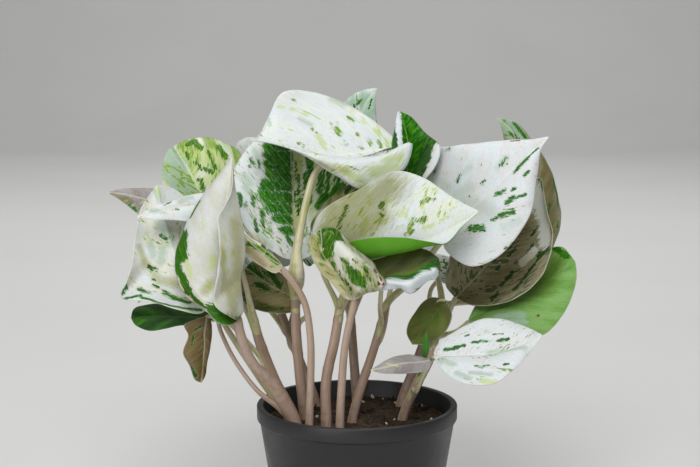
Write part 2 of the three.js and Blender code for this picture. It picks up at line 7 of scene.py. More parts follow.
import bpy
import numpy as np
from bpy.props import FloatProperty, FloatVectorProperty, IntProperty, PointerProperty
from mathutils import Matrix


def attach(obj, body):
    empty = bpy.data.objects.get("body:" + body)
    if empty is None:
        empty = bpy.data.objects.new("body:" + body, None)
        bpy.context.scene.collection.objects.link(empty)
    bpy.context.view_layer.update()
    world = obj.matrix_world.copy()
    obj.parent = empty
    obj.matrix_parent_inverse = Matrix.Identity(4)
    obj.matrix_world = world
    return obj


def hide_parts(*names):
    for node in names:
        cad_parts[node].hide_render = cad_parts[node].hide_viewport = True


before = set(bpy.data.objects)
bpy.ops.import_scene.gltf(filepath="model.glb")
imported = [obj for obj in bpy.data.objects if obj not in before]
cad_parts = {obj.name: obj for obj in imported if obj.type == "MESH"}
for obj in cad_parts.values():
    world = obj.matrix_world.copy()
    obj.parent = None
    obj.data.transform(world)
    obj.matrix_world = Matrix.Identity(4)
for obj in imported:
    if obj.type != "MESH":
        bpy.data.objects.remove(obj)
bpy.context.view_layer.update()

bl_info = {
    "name": "Potted Variegated Pothos",
    "version": (1, 0, 0),
    "blender": (4, 5, 0),
    "location": "View3D > Sidebar > Pothos",
    "description": "Builds a potted white and green pothos and a plain studio round it",
    "category": "Add Mesh",
}

BODY = "root"
MM = 0.001

# Points this near become one, in metres, and the least lengths that anything is divided by
MERGE_DISTANCE = 1e-6
SHORTEST = 1e-6
TINY = 1e-9

# Pot, in millimetres and degrees; faces look up where the upward part of their normal is above FACES_UP
POT_HEIGHT = 105.0
RIM_RADIUS = 60.0
RIM_DEPTH = 9.0
RIM_STEP = 1.6
RIM_SLOPE = 0.8
BASE_RADIUS = 43.0
WALL = 2.2
FIRST_RING = 2.0
POT_SIDES = 128
DRAIN_COUNT = 6
DRAIN_RADIUS = 4.0
DRAIN_RING = 29.0
DRAIN_SIDES = 32
FACES_UP = 0.9
EDGE_STEPS = 2
EDGE_ANGLE = 30.0
SMOOTH_ANGLE = 35.0

# Soil, in millimetres; shares run from the middle of its floor to the middle of its top
SOIL_TOP = 96.0
SOIL_GRID = (200, 90)
CLEARANCE = 0.3
SHOULDER = 2.0
SHOULDER_GAP = 1.2
SOIL_RISE = 0.4
SOIL_SHARES = (0, 0.08, 0.16, 0.2, 0.6, 1)
TOP_SHARES = (0.2, 0.24)
WAVE_LENGTHS = (26.0, 14.0, 7.0, 3.5, 2.2)
WAVES_EACH = 7
WAVE_POWER = 0.6
CRUMB_REACH = 50.0
CRUMB_LIFT = 0.9
CRUMB_SIZES = (0.7, 1.6)
CRUMB_LENGTHS = (1, 2.6)
CRUMB_WIDTH = 0.6
CRUMB_THICKNESS = 0.4
CRUMB_ROUGHNESS = 0.12
GRIT_EVERY = 9
GRIT_WIDTHS = (0.5, 1)
GRIT_THICKNESSES = (0.35, 0.8)

# Lines: points between two given ones, the step that gives a heading, and a direction that no line follows
LINE_FINENESS = 40
HEADING_STEP = 0.004
NO_LINE = (0.3, 1, 0.2)

# Blades, in millimetres and shares of their length; patterns of leaves and of their halves lie apart
PLAIN_SWELL = (2, 2)
MOST_BOW = 0.3
FOLD_ROUNDING = 0.8
FIRST_ROW = 0.012
LAST_ROW = 0.994
EVEN_ROWS = 0.85
FINE_BLADE = (64, 96)
PLAIN_BLADE = (40, 60)
FINE_LENGTH = 60.0
SMOOTH_PASSES = 2
SMOOTH_REACH = 1.4
LEAST_SPACING = 0.2
VEIN_SPACING = 6.5
VEIN_SLANT = 0.85
VEIN_CURL = 0.01
VEIN_DEPTH = 0.08
VEIN_WIDTH = 0.6
PILLOW = 0.05
GROOVE_WIDTH = 0.9
RIB_FADE = (0.5, 3.0)
MARGIN_FADE = (0.5, 4.0)
LONG_RIPPLE = 23.0
SHORT_RIPPLE = 9.7
RIPPLE_TURN = 0.37
RIPPLE_POWER = 4
HALF_PATTERN = 1.9
LEAF_PATTERN = 3.7

# Far leaves: the tilt of each half in degrees, and where the stalk meets the blade, in lengths of the leaf
HALF_TILT = 11.0
FAR_STALK_RADIUS = 1.6
FAR_STALK_BACK = 0.12
FAR_STALK_DROP = 0.1
RIB_SHARES = (0, 0.33, 0.66, 1)
FIRST_FAR_SEED = 41

# Stalks and stems, in millimetres; each table gives places along a bar and shares of its radius
STALK_SIDES = 16
STALK_STEPS = 56
STEM_SIDES = 20
STEM_STEPS = 72
SCAR_SPACING = 31.0
SCAR_SHIFT = 5.0
SCAR_WIDTH = 1.4
SHEATH_RUN = 11.0
SHEATH_FLARE = 1.25
TOPMOST = 0.9
TOP_FIT = 1.06
TOP_OVERLAP = 0.05
TOP_HUGS = (0, 0.1)
SIDE_HUGS = (0.45, 0.8)
SPINE_DEPTH = 0.25
SPINE = ((0, 0.72), (0.06, 0.62), (0.2, 0.45), (0.4, 0.32), (0.62, 0.2), (0.85, 0.08))
CLASP = ((0.03, 0.6, 0), (0.1, 1, 0), (0.2, 0.5, 0.5), (0.4, 0, 1))
STALK_TOP = ((0.9, 0.85), (0.97, 0.95), (1, 0.75))
SPINE_TAPER = ((0.3, 0.34), (1, 0.05))
STEM_TAPER = ((0, 1.08), (0.4, 0.98), (0.8, 0.9), (0.95, 0.8), (1, 0.4))

# A stem's radius and path; a stalk's stem, its place and bearing there, radius, way and sheath
Stem = namedtuple("Stem", "radius path")
Stalk = namedtuple("Stalk", "stem at bearing radius via sheath", defaults=(None,))

# Main stems, from inside the soil up, in millimetres: +X right, +Y away, +Z up from the pot's foot
STEMS = {
    "left": Stem(4.9, [[-36, -20, 70], [-37, -20, 96], [-43, -23, 112], [-51, -28, 126]]),
    "left_back": Stem(3.4, [[-38, 4, 70], [-40, 4, 96], [-50, 2, 120], [-58, -2, 143], [-62, -6, 160]]),
    "centre_left": Stem(
        3.2, [[-30, -4, 70], [-31, -5, 96], [-34, -8, 125], [-36, -12, 155], [-36, -15, 178]],
    ),
    "centre": Stem(3.2, [[-18, -22, 70], [-18, -22, 96], [-18, -25, 125], [-13, -30, 150], [-9, -32, 176]]),
    "right": Stem(2.8, [[-3, -12, 70], [-3, -12, 96], [3, -13, 120], [10, -15, 142], [18, -17, 172]]),
    "far_right": Stem(3, [[26, -6, 70], [27, -6, 96], [35, -10, 118], [43, -14, 136], [47, -12, 152]]),
    "back_right": Stem(3, [[26, 26, 70], [27, 27, 96], [36, 32, 120], [46, 38, 145], [54, 42, 160]]),
    "back": Stem(3, [[0, 34, 70], [0, 35, 96], [-2, 40, 125], [-4, 44, 155], [-4, 44, 175]]),
    "back_left": Stem(3, [[-24, 26, 70], [-25, 27, 96], [-34, 32, 120], [-44, 36, 145], [-50, 38, 162]]),
}

# Leaves of the photograph: points of the rib, of both margins and of any folds, by how far out, and the stalk
LEAVES = {
    "top": {
        "rib": [[-6.5, -14, 252.5], [-18.5, -16, 254], [-39, -20, 261.5], [-61.5, -25, 265]],
        "left": [
            [12, -20, 255.5], [22.5, -20, 260], [31, -18, 263], [30.5, -22, 256], [25.5, -28, 247.5],
            [16, -34, 244.5], [3.5, -37, 237.5], [-11.5, -37, 245.5], [-29.5, -34, 257], [-44, -29, 262],
        ],
        "left_folds": {
            0.6: [
                [8.5, -24, 255], [15.5, -28, 256.5], [7, -36, 254.5], [-4, -42, 253.5], [-20, -42, 255],
                [-32, -38, 259.5], [-47.5, -32, 263.5],
            ],
        },
        "right": [
            [8.5, -8, 255.5], [22, -2, 259.5], [27.5, 2, 258], [13, 8, 271], [-7, 16, 283.5],
            [-28, 18, 290.5], [-44, 12, 290], [-52, 0, 276], [-57, -14, 266.5],
        ],
        "swell": [3, -4],
        "stalk": Stalk(
            "centre_left", 0.97, 265, 2.3,
            [
                [-35, -28, 189.5], [-34.5, -28, 202], [-32, -26, 216.5], [-29, -24, 230.5], [-25, -22, 244],
                [-20.5, -20, 249.5], [-12.5, -17, 251.5],
            ],
            [(0.03, 1), (0.12, 1.6), (0.2, 2.2), (0.27, 2.15), (0.38, 1.25), (0.5, 1)],
        ),
    },
    "centre": {
        "rib": [
            [-3, -40, 200], [6.5, -45, 199.5], [18, -49, 203], [31, -53, 207], [45.5, -56, 214],
            [67, -58, 228],
        ],
        "left": [
            [-13, -38, 206], [-25, -40, 212.5], [-20, -44, 226.5], [2, -46, 239.5], [21, -45, 249],
            [36, -45, 245.5], [54, -53, 234.5],
        ],
        "right": [
            [-5, -52, 209.5], [5.5, -60, 213.5], [17.5, -63, 214.5], [31.5, -65, 214], [41.5, -66, 212],
            [48.5, -65, 211.5], [56.5, -61, 219.5],
        ],
        "swell": [4, -8], "stalk": Stalk("centre", 0.95, 290, 2, [[-5, -39, 188]]),
    },
    "right": {
        "rib": [[51, -20, 211], [66, -26, 226], [81, -30, 241], [95, -30, 255], [109, -26, 267]],
        "left": [[42, -2, 219], [40, 6, 239], [44, 4, 256], [57, -8, 260], [82, -18, 264], [98, -24, 265]],
        "right": [
            [50, -26, 203], [64, -36, 194], [80, -42, 201], [97, -40, 224], [101, -35, 243],
            [104, -29, 260],
        ],
        "swell": [3, 4], "stalk": Stalk("right", 0.97, 350, 2, [[33, -18, 184], [45, -18, 201]]),
    },
    "top_right": {
        "rib": [[28, -12, 241], [30, 0, 257], [28, 4, 270], [24, 6, 280]],
        "left": [[22, -6, 247], [20, -2, 260], [22, 3, 270]],
        "right": [[36, -14, 239], [46, -12, 250], [48, -8, 260], [39, 0, 268], [32, 4, 276]],
        "swell": [2, 4], "stalk": Stalk("centre", 0.93, 30, 1.6, [[4, -26, 192], [18, -20, 220]]),
    },
    "top_back": {
        "rib": [[-3, 28, 255], [1, 31, 270], [5, 33, 282], [12, 32, 292]],
        "left": [[-13, 30, 261], [-15, 32, 274], [-7, 34, 284], [3, 34, 290]],
        "right": [[8, 31, 258], [12, 33, 269], [11, 33, 282]],
        "stalk": Stalk("back", 0.96, 270, 1.6, [[-5, 33, 200], [-4, 30, 230]]),
    },
    "left_front": {
        "rib": [
            [-67, -50, 167], [-72.5, -48, 175.5], [-76, -50, 188.5], [-75.5, -52, 206], [-73.5, -53, 225.5],
            [-71, -52, 242], [-69.5, -48, 257],
        ],
        "left": [
            [-68.5, -55, 165], [-73.5, -62, 165], [-78, -64, 167], [-81.5, -62, 170.5], [-85, -60, 174],
            [-93, -56, 178.5], [-99, -52, 184.5], [-102, -48, 198.5], [-98, -44, 215], [-86, -44, 236],
            [-74.5, -46, 250.5],
        ],
        "right": [
            [-67.5, -56, 167], [-71.5, -64, 171], [-76, -68, 175], [-79, -69, 180], [-78, -70, 188],
            [-76.5, -70, 197], [-75, -69, 206.5], [-76, -67, 216.5], [-76.5, -65, 225.5], [-72.5, -61, 232],
            [-69.5, -56, 240],
        ],
        "right_folds": {
            0.5: [
                [-64, -50, 170.5], [-64, -50, 176.5], [-64.5, -52, 184], [-64.5, -52, 191.5],
                [-62.5, -51, 199], [-62, -50, 207], [-63, -50, 217.5], [-65.5, -50, 229.5], [-68, -50, 242],
            ],
        },
        "swell": [5, 6], "stalk": Stalk("left", 0.9, 235, 3.2, [[-61, -38, 140], [-66, -45, 156]]),
    },
    "left": {
        "rib": [[-83, -30, 173], [-96, -33, 186], [-105, -33, 203], [-111, -28, 222], [-115, -22, 239]],
        "left": [
            [-89, -42, 168], [-102, -50, 172], [-116, -52, 177], [-133, -46, 178], [-128, -42, 193],
            [-127, -32, 209], [-124, -27, 225],
        ],
        "right": [[-77, -22, 184], [-81, -14, 203], [-93, -14, 223], [-105, -18, 236]], "swell": [-7, -3],
        "stalk": Stalk("left", 0.85, 170, 1.9, [[-64, -27, 138], [-76, -29, 158]]),
    },
    "left_upper": {
        "rib": [[-73, -20, 223], [-90, -30, 228], [-108, -40, 226], [-124, -45, 223]],
        "left": [[-78, -24, 215], [-89, -34, 218], [-100, -42, 221], [-112, -45, 222]],
        "right": [[-76, -16, 232], [-90, -22, 234], [-101, -31, 232], [-113, -40, 229]],
        "stalk": Stalk("left_back", 0.93, 270, 1.6, [[-65, -15, 180], [-71, -18, 205]]),
    },
    "far_left": {
        "rib": [[-100, 4, 218], [-119, 0, 226], [-135, -4, 231], [-147, -6, 233]],
        "left": [[-107, -6, 209], [-120, -8, 214], [-129, -8, 221], [-138, -7, 228]],
        "right": [[-107, 14, 228], [-120, 10, 233], [-129, 6, 234], [-138, -1, 234]],
        "stalk": Stalk("left_back", 0.92, 150, 1.6, [[-78, 2, 185], [-92, 4, 205]]),
    },
    "upper_left": {
        "rib": [[-89, 2, 225], [-94, 0, 235], [-101, 4, 247], [-109, 12, 258]],
        "left": [[-98, -4, 221], [-109, -6, 228], [-114, -5, 238], [-114, 0, 248], [-112, 8, 256]],
        "right": [[-77, 10, 225], [-68, 14, 238], [-70, 18, 254], [-85, 20, 262], [-100, 18, 262]],
        "swell": [2, 3], "stalk": Stalk("left_back", 0.97, 80, 1.7, [[-70, 6, 185], [-80, 5, 208]]),
    },
    "behind_left": {
        "rib": [[-57, 36, 228], [-62, 36, 245], [-67, 34, 262]],
        "left": [[-68, 36, 233], [-75, 36, 248], [-73, 35, 258]],
        "right": [[-48, 36, 241], [-50, 35, 255], [-58, 34, 261]], "swell": [3, 3],
        "stalk": Stalk("back_left", 0.96, 250, 1.5, [[-57, 35, 190]]),
    },
    "upright": {
        "rib": [[-35, -17, 194], [-36, -7, 208], [-38, 6, 227], [-40, 18, 256], [-42, 22, 279]],
        "left": [
            [-43, -23, 197], [-54, -27, 205], [-63, -26, 211], [-70, -18, 228], [-73, -8, 241],
            [-68, 4, 253], [-55, 16, 268],
        ],
        "right": [
            [-27, -14, 197], [-17, -6, 211], [-4, 8, 227], [-2, 14, 241], [-10, 22, 261], [-27, 24, 276],
        ],
        "swell": [4, -2], "stalk": Stalk("centre_left", 0.93, 70, 2, [[-35, -9, 182]]),
    },
    "inner_left": {
        "rib": [[-42, -38, 194], [-50, -37, 199], [-58, -35, 205], [-68, -28, 215]],
        "left": [[-46, -42, 191], [-54, -43, 195], [-63, -39, 202]],
        "right": [[-46, -33, 198], [-54, -32, 204], [-62, -31, 210]], "swell": [1, 1],
        "stalk": Stalk(
            None, 0, 0, 2.2,
            [[-28, -26, 70], [-28, -27, 96], [-27, -29, 125], [-27, -31, 152], [-31, -35, 175]],
        ),
    },
    "inner_shade": {
        "rib": [[-32, 2, 167], [-48, 0, 175], [-66, -4, 188]],
        "left": [[-38, -2, 161], [-56, -6, 162], [-67, -8, 168], [-69, -6, 178]],
        "right": [[-36, 6, 176], [-51, 6, 186], [-61, 2, 191]], "swell": [0, 0],
        "stalk": Stalk("centre_left", 0.78, 60, 1.5, [[-29, 2, 160]]),
    },
    "right_tall": {
        "rib": [[59, 10, 167], [74, 14, 182], [92, 18, 204], [105, 16, 226], [110, 12, 239]],
        "left": [[53, 8, 176], [55, 12, 189], [63, 18, 210], [83, 22, 231], [101, 18, 240]],
        "right": [
            [70, 2, 164], [87, -4, 167], [105, -8, 179], [113, -8, 196], [115, -5, 208], [112, 1, 220],
            [111, 6, 229],
        ],
        "swell": [-3, -5], "stalk": Stalk("far_right", 0.96, 60, 1.9, [[54, 3, 158]]),
    },
    "right_low": {
        "rib": [[66, 2, 155], [86, 10, 163], [111, 14, 175], [131, 10, 189]],
        "left": [[74, 14, 165], [93, 24, 180], [114, 24, 194], [124, 18, 197], [128, 13, 193]],
        "right": [
            [74, -8, 151], [90, -14, 149], [109, -12, 149], [121, -6, 159], [128, 0, 171], [131, 5, 181],
        ],
        "swell": [2, 4], "stalk": Stalk("far_right", 0.94, 340, 1.7, [[58, -8, 150]]),
    },
    "right_back": {
        "rib": [[92, 42, 169], [99, 38, 198], [101, 36, 230], [99, 36, 252], [94, 36, 266], [85, 36, 274]],
        "left": [[81, 42, 184], [76, 42, 210], [81, 40, 235], [90, 38, 253], [88, 36, 267]],
        "right": [
            [108, 46, 175], [121, 44, 191], [126, 42, 211], [122, 40, 232], [116, 38, 247], [106, 37, 261],
            [98, 36, 270],
        ],
        "swell": [3, 4], "stalk": Stalk("back_right", 0.95, 340, 1.8, [[75, 42, 160]]),
    },
    "low_right": {
        "rib": [[43, -40, 143], [58, -45, 144], [75, -50, 146], [91, -52, 151], [104, -50, 157]],
        "left": [[46, -34, 148], [55, -26, 153], [70, -22, 160], [85, -26, 161], [96, -36, 159]],
        "right": [[48, -52, 137], [59, -66, 133], [75, -74, 135], [86, -70, 142], [97, -58, 150]],
        "swell": [2, 3], "stalk": Stalk("far_right", 0.7, 275, 1.7, [[42, -28, 137]]),
    },
    "low_front": {
        "rib": [[41.5, -48, 142.5], [34, -53, 142], [25, -58, 142.5], [15.5, -61, 141], [7, -61, 139.5]],
        "left": [[39.5, -52, 138], [30.5, -58, 137], [21, -61, 137.5], [12.5, -62, 138]],
        "right": [[35.5, -46, 143.5], [27, -50, 146], [18, -55, 144.5], [12, -59, 142]], "swell": [2, 1],
        "stalk": Stalk("far_right", 0.55, 250, 1.4, [[34, -31, 120], [37, -44, 132]]),
    },
    "spotted": {
        "rib": [
            [-2.5, -55, 177.5], [-7.5, -56, 186], [-14, -55, 195], [-20, -52, 203.5], [-20, -50, 211],
            [-20.5, -47, 217],
        ],
        "left": [
            [-7, -57, 179.5], [-14.5, -57, 188], [-22, -55, 196], [-25, -54, 201], [-27.5, -50, 209.5],
            [-25, -47, 214],
        ],
        "right": [
            [4.5, -60, 182.5], [11.5, -66, 185.5], [15.5, -66, 190], [10.5, -60, 195.5], [9, -56, 199],
            [2, -52, 205], [-5.5, -48, 211], [-12.5, -46, 217],
        ],
        "right_folds": {
            0.5: [
                [0, -66, 184.5], [3.5, -72, 190], [2.5, -73, 197], [-3, -70, 204], [-9, -64, 210],
                [-14.5, -56, 214],
            ],
        },
        "swell": [3, 3],
        "stalk": Stalk(
            None, 0, 0, 2.4,
            [[-9, -36, 70], [-10, -36, 96], [-9, -40, 125], [-7, -46, 150], [-4, -52, 167]],
        ),
    },
    "cupped": {
        "rib": [[13, -50, 187], [18, -50, 191], [28.5, -48, 194], [37, -46, 197.5], [45.5, -43, 200]],
        "left": [[8, -44, 191], [7.5, -38, 198], [19.5, -35, 202.5], [31, -35, 205], [40, -38, 203.5]],
        "right": [
            [12, -60, 184.5], [18, -62, 185.5], [24, -61, 186], [26.5, -62, 184], [29, -63, 183],
            [32.5, -61, 184], [35.5, -59, 186.5], [39, -57, 189], [44, -53, 190], [46.5, -47, 195],
        ],
        "right_folds": {
            0.6: [
                [13.5, -61, 189.5], [16, -65, 190.5], [20, -67, 190], [25, -67, 189.5], [29, -67, 190],
                [32, -65, 191.5], [36, -62, 193.5], [42.5, -56, 194.5],
            ],
        },
        "swell": [-3, 0], "stalk": Stalk("right", 0.85, 265, 1.5, [[13, -35, 171]]),
    },
    "low_left": {
        "rib": [[-84, -16, 160], [-100, -22, 161], [-117, -28, 163], [-130, -31, 163]],
        "left": [[-87, -26, 159], [-101, -38, 160], [-117, -42, 158], [-126, -38, 160]],
        "right": [[-91, -8, 163], [-109, -8, 166], [-123, -16, 168], [-129, -25, 167]], "swell": [3, 3],
        "stalk": Stalk("left_back", 0.72, 200, 1.4, [[-70, -9, 150], [-79, -14, 159]]),
    },
    "hanging": {
        "rib": [[-86, -35, 165], [-87, -38, 156.5], [-87.5, -39, 143], [-89.5, -37, 126.5]],
        "left": [[-83.5, -33, 160], [-84, -34, 151], [-86, -35, 139.5], [-87.5, -36, 130]],
        "right": [
            [-92, -37, 163.5], [-98.5, -40, 160.5], [-96, -42, 155.5], [-99, -42, 145], [-95.5, -40, 136.5],
            [-93, -38, 128.5],
        ],
        "swell": [3, 3],
        "stalk": Stalk(
            "left", 0.68, 195, 1.4, [[-58, -29, 120], [-71, -34, 140], [-78, -36, 156], [-81, -34, 164]],
        ),
    },
    "inner_right": {
        "rib": [[52, -12, 170], [44, -16, 160], [32, -20, 145]],
        "left": [[55, -22, 162], [50, -24, 152], [40, -22, 146]],
        "right": [[43, -6, 170], [33, -10, 161], [29, -16, 152]],
        "stalk": Stalk("far_right", 0.95, 180, 1.2, [[44, -12, 160], [48, -11, 169]]),
    },
    "behind_centre": {
        "rib": [[-23, -26, 208], [-15, -25, 222], [-5, -26, 234], [6, -27, 243]],
        "left": [[-27, -21, 215], [-19, -19, 227], [-7, -21, 238]],
        "right": [[-12, -32, 209], [-3, -33, 219], [5, -31, 231]],
        "stalk": Stalk("centre", 0.92, 180, 1.5, [[-20, -29, 190]]),
    },
}

# Leaves of the far side, which arch over: base, bearing, rise and bend in degrees, length, stem, place on it
FAR_LEAVES = {
    "back_low_right": ([54, 72, 170], 45, 20, 85, 76, "back_right", 0.72),
    "back_high_right": ([46, 56, 222], 62, 40, 100, 82, "back_right", 0.97),
    "back_low": ([6, 69, 176], 90, 15, 80, 70, "back", 0.72),
    "back_high": ([-4, 56, 238], 98, 45, 105, 84, "back", 0.97),
    "back_low_left": ([-40, 64, 182], 122, 20, 85, 76, "back_left", 0.72),
    "back_high_left": ([-60, 54, 220], 138, 35, 95, 80, "back_left", 0.97),
    "back_left": ([-76, 40, 176], 172, 20, 75, 70, "back_left", 0.84),
    "inner_back_right": ([28, 22, 184], 40, 75, 60, 58, "right", 0.8),
    "inner_back_left": ([-26, 30, 192], 150, 70, 55, 56, "back", 0.85),
}

# Half the outline of a far leaf, along and across it, in lengths of the leaf
HEART_OUTLINE = [[-0.12, 0.14], [-0.12, 0.3], [0.03, 0.43], [0.28, 0.45], [0.58, 0.33], [0.84, 0.12]]

# The rolled young leaf
SHOOT_STALK = Stalk("far_right", 0.7, 225, 1.2, [[35, -31, 134], [38, -43, 142]])
SHOOT_TIP = [39, -47, 159]

